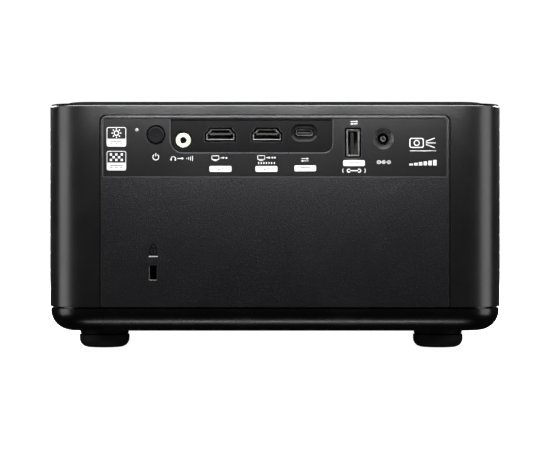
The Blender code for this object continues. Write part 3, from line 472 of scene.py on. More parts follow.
def sleeve():
    low, top, foot, edge = SLEEVE_LOW, SLEEVE_TOP, BOTTOM_EDGE, TOP_EDGE
    loops = [
        (foot, low),
        (foot * 0.3, low + foot * 0.3),
        (0, low + foot),
        (0, top - edge),
        (0.06, top - edge + 0.06),
        (edge - 0.06, top - 0.06),
        (edge, top),
        (WALL, top),
        (WALL, low),
    ]
    obj = mesh_object("sleeve", stepped([(case_outline(i), z) for i, z in loops], "Z", closed=True))
    radii = (0.2, 0.2, PANEL_RADIUS, PANEL_RADIUS)

    def notch(grow):
        u, grown = PANEL_HALF + grow, tuple(r + grow for r in radii)
        return rounded(-u, u, 0, PANEL_TOP + grow, grown)

    def front(grow):
        u, v = FRONT_HALF + grow, FRONT_RADIUS + grow
        return rounded(-u, u, FRONT_LOW - grow, FRONT_HIGH + grow, (v,) * 4, 12)

    rear_cut = [(notch(0.4), HALF_D + 0.2), (notch(0.0), HALF_D - 0.2), (notch(0.0), HALF_D - 9)]
    front_cut = [(front(0.9), -HALF_D - 0.3), (front(0.0), -HALF_D + 0.6), (front(0.0), -HALF_D + 9)]
    cut(obj, stepped(rear_cut, "Y"), stepped(front_cut, "Y"))
    length = (2 * VENT_END - (VENT_COLUMNS - 1) * VENT_BRIDGE) / VENT_COLUMNS
    grooves, slots = [], []
    for side in (1, -1):
        for row in range(VENT_ROWS):
            z, h = VENT_TOP - row * VENT_PITCH, VENT_HEIGHT / 2
            x = side * (HALF_W - 0.7), side * (HALF_W - 0.1), side * (HALF_W + 2)
            heights = (h, h + 0.1, h + 0.5)
            mouth = [rounded(-HALF_D - 9, HALF_D + 9, z - g, z + g, (0.01,) * 4, 1) for g in heights]
            grooves.append(stepped(list(zip(mouth, x)), "X"))
            for column in range(VENT_COLUMNS):
                y = -VENT_END + column * (length + VENT_BRIDGE)
                outline = rounded(y, y + length, z - h + 0.15, z + h - 0.15, (0.5,) * 4, 4)
                slots.append(prism(outline, "X", *sorted((side * (HALF_W - 9), side * (HALF_W + 5)))))
    cut(obj, *grooves)
    cut(obj, *slots)
    finishes = [FINISH[name] for name in ("case", "edge", "well")]
    finish_piece(obj, finishes, stands_for=["body_sleeve"])
    # The sleeve's top chamfer gets the edge finish as a painted highlight, and the walls of the notch beside
    # the panel get the near-black finish as painted shade.
    for polygon in obj.data.polygons:
        at, normal = polygon.center / MM, polygon.normal
        on_edge = top - edge - 0.05 < at.z < top + 0.05 and abs(normal.z) > 0.1
        beside_panel = at.y > HALF_D - 0.5 and abs(at.x) < PANEL_HALF + 1 and abs(normal.x) > 0.3
        polygon.material_index = 2 if beside_panel else int(on_edge)


def lid():
    layers = [
        (case_outline(WALL + 0.4), SLEEVE_TOP - 3),
        (case_outline(WALL + 0.4), SLEEVE_TOP + 0.3),
        (case_outline(0.7), SLEEVE_TOP + 0.3),
        (case_outline(0.55), SLEEVE_TOP + 0.42),
        (case_outline(0.55), SHOULDER - 0.3),
    ]
    layers += [(case_outline(0.55 + 0.4 * t), SHOULDER - 0.3 * (1 - t) ** 1.4) for t in (0.25, 0.6, 1.0)]
    start, end, steps = 4.5, 12.0, 14
    for step in range(steps + 1):
        t = step / steps
        rise = t * t * (3 - 2 * t)
        layers.append((case_outline(start + (end - start) * t), SHOULDER + (TOP - SHOULDER) * rise))
    piece("lid", stepped(layers, "Z"), FINISH["lid"], stands_for=["top_cover"])


def tub():
    """The tub's outside, with holes for the feet, the screws, the tripod nut and a ceiling bracket."""
    inner, floor = WALL + 0.3, TUB_BOTTOM + WALL
    layers = [
        (case_outline(TUB_FILLET), floor),
        (case_outline(inner + 1.6), floor + 8),
        (case_outline(inner + 1.6), SEAM + 2),
        (case_outline(inner), SEAM + 2),
        (case_outline(inner), SEAM),
        (case_outline(TUB_INSET + 0.4), SEAM),
        (case_outline(TUB_INSET + 0.1), SEAM - 0.1),
    ]
    steps = 18
    for step in range(steps + 1):
        turn = math.radians(90 * step / steps)
        inset = TUB_INSET + TUB_FILLET * (1 - math.cos(turn))
        layers.append((case_outline(inset), TUB_BOTTOM + (TUB_FILLET - 0.3) * (1 - math.sin(turn))))
    obj = mesh_object("tub", stepped(layers, "Z"))
    low = TUB_BOTTOM

    def hole(at, radius, top):
        profile = [(0, low - 9), (radius + 0.5, low - 9), (radius + 0.5, low - 0.1), (radius, low + 0.4)]
        profile += [(radius, top), (0, top)]
        return turned(profile, at, "Z", 40)

    holes = [hole(centre(f"case_screw_{n}"), 3.2, low + 3) for n in (1, 2, 3, 4)]
    holes += [hole((0, 0), 6.8, low + 9.9)]
    holes += [hole(at, 2.0, floor + 0.5) for at in ((50.0, 40.0), (-50.0, 40.0), (0.0, -58.0))]
    cut(obj, *holes)
    finish_piece(obj, FINISH["tub"], stands_for=["bottom_tub"])
    for name, at in feet():
        # The necks under the tub take the near-black finish: painted shade under the case.
        neck = [(0, 7.1), (12.5, 7.1), (12.7, 7.3), (12.9, low - 0.4), (13.4, low - 0.02)]
        neck += [(13.4, low + 1), (0, low + 1)]
        piece(f"neck_{name}", turned(neck, at, "Z"), FINISH["well"])


def centre(node):
    low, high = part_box(node)
    return (low[0] + high[0]) / 2 / MM, (low[1] + high[1]) / 2 / MM


def feet():
    """(name, centre) of each foot."""
    names = ("rear_left", "rear_right", "front_left", "front_right")
    return [(name, centre(f"foot_{name}")) for name in names]


def rubber_feet():
    """Round-edged feet with a ribbed sole."""
    for name, at in feet():
        sole = [(0, 0.35), (3.0, 0.35), (3.3, 0.0), (5.3, 0.0), (5.6, 0.35), (6.6, 0.35)]
        sole += [(6.9, 0.0), (8.6, 0.0)]
        side = arc((8.6, 4.6), 4.6, -90, 0, 9)[1:]
        rim = [(13.2, 6.4), (13.1, 6.7), (12.85, 6.8)]
        shape = turned(sole + side + rim + [(5.0, 6.8), (5.0, 12.0), (0, 12.0)], at, "Z")
        piece(f"rubber_foot_{name}", shape, FINISH["rubber"], stands_for=[f"foot_{name}"])


def chamfered(outline_at, face, depth, edge):
    """A cutter into a +Y face: outline_at(grow) gives its outline, edge its chamfer."""
    layers = [(outline_at(edge + 0.4), face + 0.4), (outline_at(edge), face), (outline_at(0.0), face - edge)]
    return stepped(layers + [(outline_at(0.0), depth)], "Y")


# edge is a painted highlight; well and recess are painted shade.
PANEL_FINISHES = ("panel", "label", "edge", "well", "recess")


def rear_panel():
    half, high, low = PANEL_HALF - 0.4, PANEL_TOP - 0.4, SLEEVE_LOW
    radii = (0.3, 0.3, PANEL_RADIUS, PANEL_RADIUS)

    def plate(inset):
        bounds = (inset - half, half - inset, low + inset, high - inset)
        return rounded(*bounds, tuple(max(r - inset, 0.05) for r in radii))

    face, back = PANEL_FACE, PANEL_BACK
    layers = [(plate(0), back), (plate(0), face - 0.35), (plate(0.1), face - 0.1), (plate(0.35), face)]
    obj = mesh_object("socket_panel", stepped(layers, "Y"))

    def label(grow):
        u = half - 1.4 + grow
        grown = tuple(r + grow for r in (0.4, 0.4, 2.0, 2.0))
        return rounded(-u, u, LABEL_BOTTOM - grow, high - 1.3 + grow, grown)

    def pocket(grow):
        right, left, bottom = POCKET
        grown = tuple(r + grow for r in (4.5, 6.3, 1.2, 1.2))
        return rounded(right - grow, left + grow, bottom - grow, high - 1.9 + grow, grown, 12)

    cut(obj, chamfered(label, face, LABEL_FACE, 0.25))
    cut(obj, chamfered(pocket, LABEL_FACE, POCKET_FACE, 0.5))
    through = back - 5
    cut(
        obj,
        chamfered(
            lambda g: box_outline(TYPE_C_AT, (11.4, 6.7), 3.3, g, 12), POCKET_FACE, POCKET_FACE - 1.25, 1.2
        ),
        chamfered(lambda g: circle(AUDIO_AT, 4.4 + g, 48), POCKET_FACE, through, 0.7),
        *[
            chamfered(lambda g, at=at: socket_outline(at, VIDEO_SIZE, 0.85 + g), POCKET_FACE, through, 0.2)
            for at in VIDEO_AT
        ],
        chamfered(lambda g: circle(LIGHT_AT, 0.95 + g, 24), LABEL_FACE, through, 0.15),
        chamfered(lambda g: circle(BUTTON_AT, BUTTON_RADIUS + 0.5 + g, 64), LABEL_FACE, through, 0.2),
        chamfered(lambda g: circle(DC_AT, 3.6 + g, 48), LABEL_FACE, through, 1.9),
        chamfered(lambda g: box_outline(TYPE_A_AT, TYPE_A_SIZE, 0.3, 0.7 + g, 4), LABEL_FACE, through, 0.2),
        chamfered(lambda g: box_outline(LOCK_AT, LOCK_SIZE, 0.5, g, 4), PANEL_FACE, through, 0.35),
    )
    cut(obj, prism(box_outline(TYPE_C_AT, TYPE_C_SIZE, 1.6, 0.65, 12), "Y", through, HALF_D + 9))
    finish_piece(obj, [FINISH[name] for name in PANEL_FINISHES], stands_for=["rear_panel"])
    for polygon in obj.data.polygons:
        name = panel_finish(polygon.center / MM, polygon.normal, high)
        polygon.material_index = PANEL_FINISHES.index(name)


def panel_finish(at, normal, high):
    """Which of PANEL_FINISHES a face of the rear panel has."""
    sloping = abs(normal.y) < 0.95
    in_recess = math.hypot(at.x - TYPE_C_AT[0], at.z - TYPE_C_AT[1]) < 7.5 and at.y > POCKET_FACE - 1.4
    # Walls deep in the holes: near-black, painted shade.
    if at.y < POCKET_FACE - 0.25 and not in_recess:
        return "well"
    # In the reversible socket's recess the lower chamfer is a painted highlight and the upper one painted
    # shade.
    if in_recess and sloping:
        return "edge" if at.z < TYPE_C_AT[1] - 1.5 else "well"
    # Slopes high on the panel and round the lock slot get the edge finish as a painted highlight; lower
    # down, where less light falls, they keep the panel finish.
    if sloping and abs(normal.y) > 0.3:
        around_slot = abs(at.x - LOCK_AT[0]) < 6 and at.z < LABEL_BOTTOM - 0.5
        return "edge" if around_slot or at.z > LABEL_BOTTOM + 0.5 else "panel"
    # The pocket floor: painted shade, darker than the label face.
    if at.y < POCKET_FACE + 0.05:
        return "recess"
    on_label = LABEL_BOTTOM - 0.1 < at.z < high - 1.0 and at.y < PANEL_FACE - 0.3
    return "label" if on_label else "panel"


def front_panel():
    half, low, high = FRONT_HALF - 0.4, FRONT_LOW + 0.4, FRONT_HIGH - 0.4

    def plate(inset):
        bounds = (inset - half, half - inset, low + inset, high - inset)
        return rounded(*bounds, (FRONT_RADIUS - inset,) * 4, 14)

    face, back = FRONT_FACE, FRONT_FACE + 4.0
    layers = [(plate(-2), back), (plate(-2), back - 1.3), (plate(0), back - 1.3)]
    layers += [(plate(0), face + 0.4), (plate(0.4), face)]
    obj = mesh_object("fascia", stepped(layers, "Y"))
    x0, x1, z0, z1 = WINDOW
    seat = rounded(x0, x1, z0, z1, (5.0,) * 4)
    inner = rounded(x0 + 3, x1 - 3, z0 + 3, z1 - 3, (3.0,) * 4)
    ring_seat, bore = circle(LENS_AT, TRIM_RADIUS + 0.3, 96), circle(LENS_AT, LENS_HOLE + 1.4, 96)
    cut(obj, prism(ring_seat, "Y", face - 9, face + 2.2), prism(seat, "Y", face - 9, face + 1.8))
    cut(obj, prism(bore, "Y", face - 9, back + 9), prism(inner, "Y", face - 9, back + 9))
    lines = []
    for row in range(VENT_ROWS):
        z = VENT_TOP - row * VENT_PITCH
        if low + 6 < z < z0 - 4:
            outline = rounded(x0, half - 12, z - 0.6, z + 0.6, (0.55,) * 4, 4)
            lines.append(prism(outline, "Y", face - 9, face + 0.6))
    cut(obj, *lines)
    finish_piece(obj, FINISH["case"], stands_for=["front_panel"])
    trim = [(TRIM_RADIUS, face + 1.9), (TRIM_RADIUS, face + 0.3), (TRIM_RADIUS - 0.2, face)]
    trim += [(TRIM_RADIUS - 0.6, face - 0.1), (TRIM_RADIUS - 2.4, face - 0.1)]
    funnel = 7
    for step in range(1, funnel + 1):
        t = step / funnel
        radius = TRIM_RADIUS - 2.4 + (LENS_HOLE - TRIM_RADIUS + 2.4) * t
        depth = face - 0.1 + 2.0 * t
        trim += [(radius + 0.35, depth - 0.1), (radius, depth + 0.12)]
    trim += [(LENS_HOLE, face + 3.3), (LENS_HOLE + 1, face + 3.3), (LENS_HOLE + 1, face + 2.2)]
    shape = turned(trim, LENS_AT, "Y", 96, closed=True)
    piece("lens_funnel", shape, FINISH["gloss"], stands_for=["lens_trim_ring"])
    pane = rounded(x0 + 0.3, x1 - 0.3, z0 + 0.3, z1 - 0.3, (4.7,) * 4)
    rim = rounded(x0 + 0.6, x1 - 0.6, z0 + 0.6, z1 - 0.6, (4.4,) * 4)
    shape = stepped([(pane, face + 1.5), (pane, face + 0.4), (rim, face + 0.15)], "Y")
    piece("sensor_pane", shape, FINISH["gloss"], stands_for=["sensor_window"])


# ---------------------------------------------------------------- sockets and controls


def button():
    face, flange, back = PANEL_FACE - 0.5, PANEL_BACK - 0.3, PANEL_BACK - 1.2
    r = BUTTON_RADIUS - 0.15
    dish = [(r * i / 8 * 0.82, face - 0.15 + 0.15 * (i / 8) ** 2) for i in range(9)]
    edge = arc((r - 0.6, face - 0.6), 0.6, 90, 0, 6)
    body = [(r, flange), (r + 1.2, flange), (r + 1.2, back), (1.6, back), (1.6, back - 1.6), (0, back - 1.6)]
    shape = turned(dish + edge + body, BUTTON_AT, "Y", 72)
    piece("push_button", shape, FINISH["button"], "button", ["power_button"])


def status_light():
    face = LABEL_FACE
    dome = [(i * 0.16, face - 0.05 - 0.25 * (i / 5) ** 2) for i in range(6)]
    shape = turned(dome + [(0.8, PANEL_BACK - 6), (0, PANEL_BACK - 6)], LIGHT_AT, "Y", 24)
    piece("light_pipe", shape, FINISH["light"], stands_for=["status_light"])


def contacts(name, rows):
    """Gilt strips from (x0, x1, z0, z1, length) rows."""
    end = SOCKET_MOUTH - 1.7
    strips = [block(x0, x1, end - length, end, z0, z1) for x0, x1, z0, z1, length in rows]
    piece(name, together(*strips), FINISH["gold"])


def shell_layers(outline_at, mouth, back, wall, flare=0.0):
    """An open shell with a rolled edge. outline_at(grow) gives its outline."""
    return [
        (outline_at(0.0), back),
        (outline_at(0.0), mouth - 0.8),
        (outline_at(flare), mouth - 0.15),
        (outline_at(flare - 0.1), mouth),
        (outline_at(flare - wall + 0.1), mouth),
        (outline_at(flare - wall), mouth - 0.15),
        (outline_at(-wall), mouth - 0.9),
        (outline_at(-wall), back + 1.0),
    ]


def shade_sheet(name, outline_at, mouth, back, wall, finish="shade_sheet"):
    """A plain sheet over the inside of a socket's shell, coloured as painted shade in place of the shaded
    steel. outline_at(grow) gives the shell's outline.
    """
    outer, inner = outline_at(-wall - 0.04), outline_at(-wall - 0.3)
    layers = [(outer, back + 1.05), (outer, mouth - 0.7), (inner, mouth - 0.8), (inner, back + 1.3)]
    piece(name, stepped(layers, "Y"), FINISH[finish])


def video_sockets():
    for number, at in enumerate(VIDEO_AT, 1):
        x, z = at

        def outline_at(grow, at=at):
            return socket_outline(at, VIDEO_SIZE, grow)

        shape = stepped(shell_layers(outline_at, SOCKET_MOUTH, SOCKET_BACK, 0.32), "Y")
        shade_sheet(f"video_shade_sheet_{number}", outline_at, SOCKET_MOUTH, SOCKET_BACK, 0.32)
        shown = [f"video_socket_{number}"]
        piece(f"video_mouth_{number}", shape, FINISH["shell"], stands_for=shown)
        tongue = rounded(x - 5.5, x + 5.5, z - 0.1, z + 0.9, (0.15,) * 4, 3)
        shape = stepped([(tongue, SOCKET_BACK + 1.35), (tongue, SOCKET_MOUTH - 0.7)], "Y")
        shown = [f"video_tongue_{number}"]
        piece(f"video_blade_{number}", shape, FINISH["tongue"], stands_for=shown)
        rows = [(x - 4.6 + i, x - 4.25 + i, z - 0.16, z - 0.08, 6) for i in range(10)]
        rows += [(x - 4.1 + i, x - 3.75 + i, z + 0.88, z + 0.96, 6) for i in range(9)]
        contacts(f"video_contacts_{number}", rows)


def type_c_socket():
    x, z = TYPE_C_AT
    mouth = SOCKET_MOUTH - 0.3

    def outline_at(grow):
        return box_outline(TYPE_C_AT, TYPE_C_SIZE, 1.6, grow, 12)

    shape = stepped(shell_layers(outline_at, mouth, SOCKET_BACK + 5, 0.35), "Y")
    shade_sheet("reversible_shade_sheet", outline_at, mouth, SOCKET_BACK + 5, 0.35, "socket")
    piece("reversible_mouth", shape, FINISH["shell"], stands_for=["type_c_socket"])
    tongue = rounded(x - 3.3, x + 3.3, z - 0.35, z + 0.35, (0.12,) * 4, 3)
    shape = prism(tongue, "Y", SOCKET_BACK + 6.35, mouth - 0.8)
    piece("reversible_blade", shape, FINISH["tongue"])
    rows = [(x - 2.85 + 0.5 * i, x - 2.6 + 0.5 * i, z - 0.39, z + 0.39, 3) for i in range(12)]
    contacts("reversible_contacts", rows)


def type_a_socket():
    at, (x, z) = TYPE_A_AT, TYPE_A_AT
    mouth = SOCKET_MOUTH + 1.0

    def outline_at(grow):
        return box_outline(at, TYPE_A_SIZE, 1.0, grow - 0.3, 6)

    shade_sheet("upright_shade_sheet", outline_at, mouth, SOCKET_BACK, 0.35)
    shape = stepped(shell_layers(outline_at, mouth, SOCKET_BACK, 0.35, 0.2), "Y")
    piece("upright_mouth", shape, FINISH["upright"], stands_for=["type_a_socket"])
    tongue = rounded(x - 0.3, x + 1.2, z - 5.5, z + 5.5, (0.2,) * 4, 3)
    shape = prism(tongue, "Y", SOCKET_BACK + 1.35, SOCKET_MOUTH - 0.8)
    piece("upright_blade", shape, FINISH["blade"], stands_for=["type_a_tongue"])
    rows = [(x - 0.38, x - 0.28, z + d - 0.5, z + d + 0.5, 7) for d in (-3.5, -1.0, 1.0, 3.5)]
    contacts("upright_contacts", rows)


def audio_jack():
    mouth, back = POCKET_FACE - 0.5, SOCKET_BACK + 1
    profile = [(0, back + 1.5), (1.75, back + 1.5), (1.75, mouth - 0.5)]
    profile += arc((2.25, mouth - 0.5), 0.5, 180, 90, 4)
    profile += arc((3.35, mouth - 0.4), 0.4, 90, 0, 4)
    profile += [(3.75, mouth - 1.2), (3.85, mouth - 1.2), (3.85, back), (0, back)]
    shape = turned(profile, AUDIO_AT, "Y", 56)
    piece("audio_ring", shape, FINISH["ring"], stands_for=["audio_jack"])
    bore = [(1.7, mouth - 0.7), (1.72, back + 1.6), (1.5, back + 1.6), (1.5, mouth - 0.8)]
    piece("audio_bore", turned(bore, AUDIO_AT, "Y", 40, closed=True), FINISH["socket"])


def dc_inlet():
    mouth, back, step = PANEL_FACE - 2.8, SOCKET_BACK + 1, PANEL_BACK - 0.3
    profile = [(0, back + 1.5), (3.0, back + 1.5), (3.0, mouth - 0.2), (3.15, mouth), (3.35, mouth)]
    profile += [(3.45, mouth - 0.15), (3.45, step), (4.8, step), (4.8, back), (0, back)]
    shape = turned(profile, DC_AT, "Y", 56)
    piece("inlet_barrel", shape, FINISH["socket"], stands_for=["dc_jack"])
    pin = [(0, back + 1.6), (1.5, back + 1.6), (1.5, mouth - 1.5), (1.3, mouth - 1.2), (0.8, mouth - 1.2)]
    pin += [(0.65, mouth - 1.4), (0.65, back + 3), (0, back + 3)]
    piece("inlet_pin", turned(pin, DC_AT, "Y", 40), FINISH["shell"], stands_for=["dc_pin"])


# ---------------------------------------------------------------- printed pictograms


def stroke(points, width, closed=False):
    """The outlines of a drawn line: one quadrilateral for each stretch, with mitred joints."""
    count = len(points)
    sides = []
    for i, point in enumerate(points):
        here = Vector(point)
        before = Vector(points[i - 1]) if closed or i else here
        after = Vector(points[(i + 1) % count]) if closed or i < count - 1 else here
        a, b = (here - before), (after - here)
        a = a.normalized() if a.length else b.normalized()
        b = b.normalized() if b.length else a
        normal = Vector((-(a + b).y, (a + b).x)).normalized()
        reach = width / 2 / max(normal.dot(Vector((-a.y, a.x))), 0.4)
        sides.append((here + normal * reach, here - normal * reach))
    pairs = list(zip(sides, sides[1:])) + ([(sides[-1], sides[0])] if closed else [])
    return [[tuple(p[0]), tuple(p[1]), tuple(q[1]), tuple(q[0])] for p, q in pairs]


def ring(centre, radius, width, start=0, end=360, steps=32):
    full = end - start == 360
    points = arc(centre, radius, start, end, steps)
    return stroke(points[:-1] if full else points, width, full)


def shifted(outlines, dx, dz, scale=1.0):
    return [[(x * scale + dx, z * scale + dz) for x, z in outline] for outline in outlines]


def printed(name, outlines, face, finish="ink", thick=0.04):
    """Flat marks on a +Y face. Their x runs to the viewer's right, so it is turned to -X here."""
    shapes = [prism([(-x, z) for x, z in outline], "Y", face + 0.005, face + thick) for outline in outlines]
    piece(name, together(*shapes), FINISH[finish])


def pill(width, height):
    return rounded(-width / 2, width / 2, -height / 2, height / 2, (0.7,) * 4, 5)


def power_mark():
    return ring((0, 0), 1.75, 0.42, 125, 415, 24) + stroke([(0, 0.4), (0, 2.3)], 0.42)


def badge(marks):
    """A square frame with a filled tab below the marks."""
    frame_lines = stroke(rounded(-4.85, 4.85, -4.85, 4.85, (0.9,) * 4, 5), 0.32, True)
    return frame_lines + marks + [rounded(-4.8, 4.8, -4.8, -1.0, (0.8, 0.8, 0.05, 0.05), 4)]


def brightness_mark():
    sun = ring((0, 0), 1.15, 0.45)
    for i in range(8):
        along = math.cos(math.radians(45 * i)), math.sin(math.radians(45 * i))
        sun += stroke([(r * along[0], r * along[1]) for r in (1.75, 2.55)], 0.45)
    return shifted(sun, 0, 1.95)


def sharpness_mark():
    marks = []
    for column in range(5):
        for row in range(3):
            if (column + row) % 2 == 0:
                x, z = -3.4 + 1.4 * column, -0.15 + 1.4 * row
                marks.append([(x, z), (x + 1.15, z), (x + 1.15, z + 1.15), (x, z + 1.15)])
    return marks


def arrow_mark(start, end):
    return stroke([(start, 0), (end - 0.6, 0)], 0.34) + [[(end - 0.9, -0.65), (end, 0), (end - 0.9, 0.65)]]


def headphones_mark():
    marks = ring((0, -0.2), 1.15, 0.32, 0, 180, 14)
    marks += [rounded(-1.4, -0.75, -1.1, 0.0, (0.2,) * 4, 3), rounded(0.75, 1.4, -1.1, 0.0, (0.2,) * 4, 3)]
    marks = shifted(marks, -4.7, 0) + arrow_mark(-2.6, 0.6)
    for radius in (1.3, 2.3, 3.3, 4.3):
        marks += ring((1.0, 0), radius, 0.32, -17, 17, 6)
    return marks


def display_mark(dots):
    marks = stroke(rounded(-4.5, -0.9, -0.6, 1.35, (0.25,) * 4, 3), 0.26, True)
    marks += stroke([(-2.7, -0.6), (-2.7, -1.05)], 0.26) + stroke([(-3.7, -1.15), (-1.7, -1.15)], 0.26)
    marks += shifted(arrow_mark(0.0, 2.1), 0, 0.3)
    return marks + [circle((3.0 + 1.25 * i, 0.3), 0.45, 16) for i in range(dots)]


def chevrons_mark():
    marks = []
    for i in range(7):
        x = 1.35 * i
        marks += stroke([(x - 4.3, -0.5), (x - 3.8, 0), (x - 4.3, 0.5)], 0.3)
    return marks


def exchange_mark():
    marks = stroke([(-2.4, 0.75), (1.5, 0.75)], 0.38) + [[(1.2, 0.05), (2.6, 0.75), (1.2, 1.45)]]
    marks += stroke([(2.4, -0.75), (-1.5, -0.75)], 0.38)
    return marks + [[(-1.2, -1.45), (-2.6, -0.75), (-1.2, -0.05)]]


def wrench_mark():
    marks = ring((-2.7, 0), 0.8, 0.45, 40, 320, 16) + stroke([(-1.9, 0), (1.9, 0)], 0.5)
    marks += ring((2.7, 0), 0.8, 0.45, 220, 500, 16)
    return marks + ring((-3.4, 0), 2.4, 0.34, 153, 207, 10) + ring((3.4, 0), 2.4, 0.34, -27, 27, 10)


def polarity_mark():
    marks = ring((-2.7, 0), 0.9, 0.25) + stroke([(-3.2, 0), (-2.2, 0)], 0.3)
    marks += ring((2.7, 0), 0.9, 0.25) + stroke([(2.2, 0), (3.2, 0)], 0.3)
    marks += stroke([(2.7, -0.5), (2.7, 0.5)], 0.3)
    marks += ring((0, 0), 0.9, 0.25, 40, 320, 16) + [circle((0, 0), 0.38, 12)]
    return marks + stroke([(-1.85, 0), (-0.85, 0)], 0.3) + stroke([(0.38, 0), (1.85, 0)], 0.3)


def beam_mark():
    marks = stroke(rounded(-6.7, 0.2, -2.3, 2.3, (0.8,) * 4, 4), 0.45, True) + ring((-3.2, 0), 1.3, 0.45)
    for angle in (-22, 0, 22):
        t = math.radians(angle)
        marks += stroke([(1.6, 2.2 * math.sin(t)), (6.6 * math.cos(t), 6.6 * math.sin(t))], 0.45)
    return marks + stroke([(-6.8, -4.1), (6.8, -4.1)], 0.3)


def steps_mark():
    bars = [(2.44 * i - 6.95, 0.9 + 0.38 * i) for i in range(6)]
    return [[(x, -1.4), (x + 1.75, -1.4), (x + 1.75, height - 1.4), (x, height - 1.4)] for x, height in bars]


def current_mark(width=5.2):
    dash = width / 5
    marks = stroke([(-width / 2, 0.42), (width / 2, 0.42)], 0.34)
    for i in range(3):
        x = -width / 2 + 2 * dash * i
        marks += stroke([(x, -0.42), (x + dash, -0.42)], 0.34)
    return marks


def padlock_mark():
    marks = stroke(rounded(-2.1, 2.1, -3.1, 0.6, (0.4,) * 4, 4), 0.7, True)
    shackle = [(-1.3, 0.7), (-1.3, 1.6)] + arc((0, 1.6), 1.3, 180, 0, 10) + [(1.3, 1.6), (1.3, 0.7)]
    return marks + stroke(shackle, 0.7) + [circle((0, -0.9), 0.45, 12)] + stroke([(0, -1.0), (0, -2.0)], 0.4)


def pictograms():
    """Each mark at (x, z) in the frame, on the label face or lower down on the panel."""
    first, second = VIDEO_AT[0][0], VIDEO_AT[1][0] + 0.2
    ink = (
        ("badge_brightness", badge(brightness_mark()), 81.7, 110.0),
        ("badge_sharpness", badge(sharpness_mark()), 81.7, 97.7),
        ("mark_power", shifted(power_mark(), 0, 0, 0.86), BUTTON_AT[0], 99.6),
        ("mark_sound_out", headphones_mark(), AUDIO_AT[0] + 0.3, 98.9),
        ("mark_picture_1", display_mark(1), first - 0.2, 98.9),
        ("pill_picture_1", [pill(11.3, 3.0)], first - 0.1, 93.5),
        ("mark_picture_2", display_mark(2), second, 99.0),
        ("mark_sound_return", chevrons_mark(), second, 96.5),
        ("pill_picture_2", [pill(11.3, 3.0)], second, 93.5),
        ("mark_data_c", shifted(exchange_mark(), 0, 0, 0.78), TYPE_C_AT[0] - 0.3, 98.2),
        ("pill_data_c", [pill(11.1, 3.0)], TYPE_C_AT[0] - 0.5, 93.8),
        ("mark_data_a", shifted(exchange_mark(), 0, 0, 0.78), TYPE_A_AT[0] - 0.6, 117.3),
        ("pill_data_a", [pill(11.1, 3.0)], TYPE_A_AT[0] - 0.5, 96.5),
        ("mark_service", wrench_mark(), TYPE_A_AT[0] - 0.5, 92.6),
        ("mark_polarity", shifted(polarity_mark(), 0, 0, 0.95), DC_AT[0] - 0.3, 97.0),
        ("mark_beam", beam_mark(), -76.2, 106.9),
        ("mark_steps", steps_mark(), -76.2, 96.7),
    )
    for name, outlines, x, z in ink:
        printed(name, shifted(outlines, -x, z), LABEL_FACE)
    dark = (
        ("pill_sign_1", shifted(exchange_mark(), 0, 0, 0.6), first - 0.1, 93.5),
        ("pill_sign_2", shifted(exchange_mark(), 0, 0, 0.6), second, 93.5),
        ("pill_sign_c", current_mark(), TYPE_C_AT[0] - 0.5, 93.8),
        ("pill_sign_a", current_mark(), TYPE_A_AT[0] - 0.5, 96.5),
        ("badge_bar_1", current_mark(6.4), 81.7, 107.1),
        ("badge_bar_2", current_mark(6.4), 81.7, 94.8),
    )
    for name, outlines, x, z in dark:
        printed(name, shifted(outlines, -x, z), LABEL_FACE, "label", 0.07)
    # The debossed padlock is drawn as a flat near-black mark: painted shade in place of its deboss.
    printed("mark_padlock", shifted(padlock_mark(), -LOCK_AT[0], 52.2, 0.85), PANEL_FACE, "well", 0.05)
    # A white bar under the padlock: a painted highlight where the icon's lower edge catches the light.
    bar = rounded(-2.4, 2.4, -0.25, 0.25, (0.2,) * 4, 3)
    printed("lock_icon_highlight", shifted([bar], -LOCK_AT[0], 48.4), PANEL_FACE)


# ---------------------------------------------------------------- frame nodes that stay


KEPT = {
    "steel": (
        "lock_bracket", "focus_motor", "focus_screw", "case_screw_1", "case_screw_2", "case_screw_3",
        "case_screw_4",
    ),
    "board": ("button_board", "display_board", "main_board", "power_board", "sensor_board"),
    "cast": ("engine_housing", "lens_barrel"),
    "socket": (
        "lens_cell", "fan_frame_left", "fan_frame_right", "fan_rotor_left", "fan_rotor_right",
        "speaker_box_left", "speaker_box_right",
    ),
    "glass": ("front_lens",),
    "aluminium": ("light_source_1", "light_source_2", "light_source_3", "heat_sink"),
    "copper": ("heat_pipe",),
    "screen": ("side_mesh_left", "side_mesh_right"),
    "paper": ("speaker_cone_left", "speaker_cone_right"),
    "brass": ("tripod_insert",),
}


def dress_kept_nodes():
    for finish, names in KEPT.items():
        for name in names:
            NODES[name].data.materials.clear()
            NODES[name].data.materials.append(FINISH[finish])


# ---------------------------------------------------------------- floor, light and camera


# name, place, target, size, power; metres and watts
LIGHTS = (
    ("top near", (0.0, 0.190, 0.170), (0.0, 0.111, 0.100), (0.21, 0.03), 0.050),
    ("top close", (0.0, 0.160, 0.148), (0.0, 0.111, 0.110), (0.20, 0.02), 0.385),
    ("overhead", (0.0, 0.08, 0.80), (0.0, 0.05, 0.10), (0.80, 0.50), 12.000),
    ("side strips", (0.285, 0.200, 0.10), (0.108, 0.108, 0.08), (0.14, 0.34), 0.500),
    ("under", (0.0, 0.27, -0.35), (0.0, 0.109, 0.0146), (0.30, 0.04), 0.400),
    ("front fills", (0.60, -0.70, 0.50), (0.0, -0.10, 0.07), (0.50, 0.40), 14.0),
)


# Mirrored in the lid from some sides, these would turn it white
OFF_THE_LID = ("top near", "top close", "front fills", "front fills mirrored")


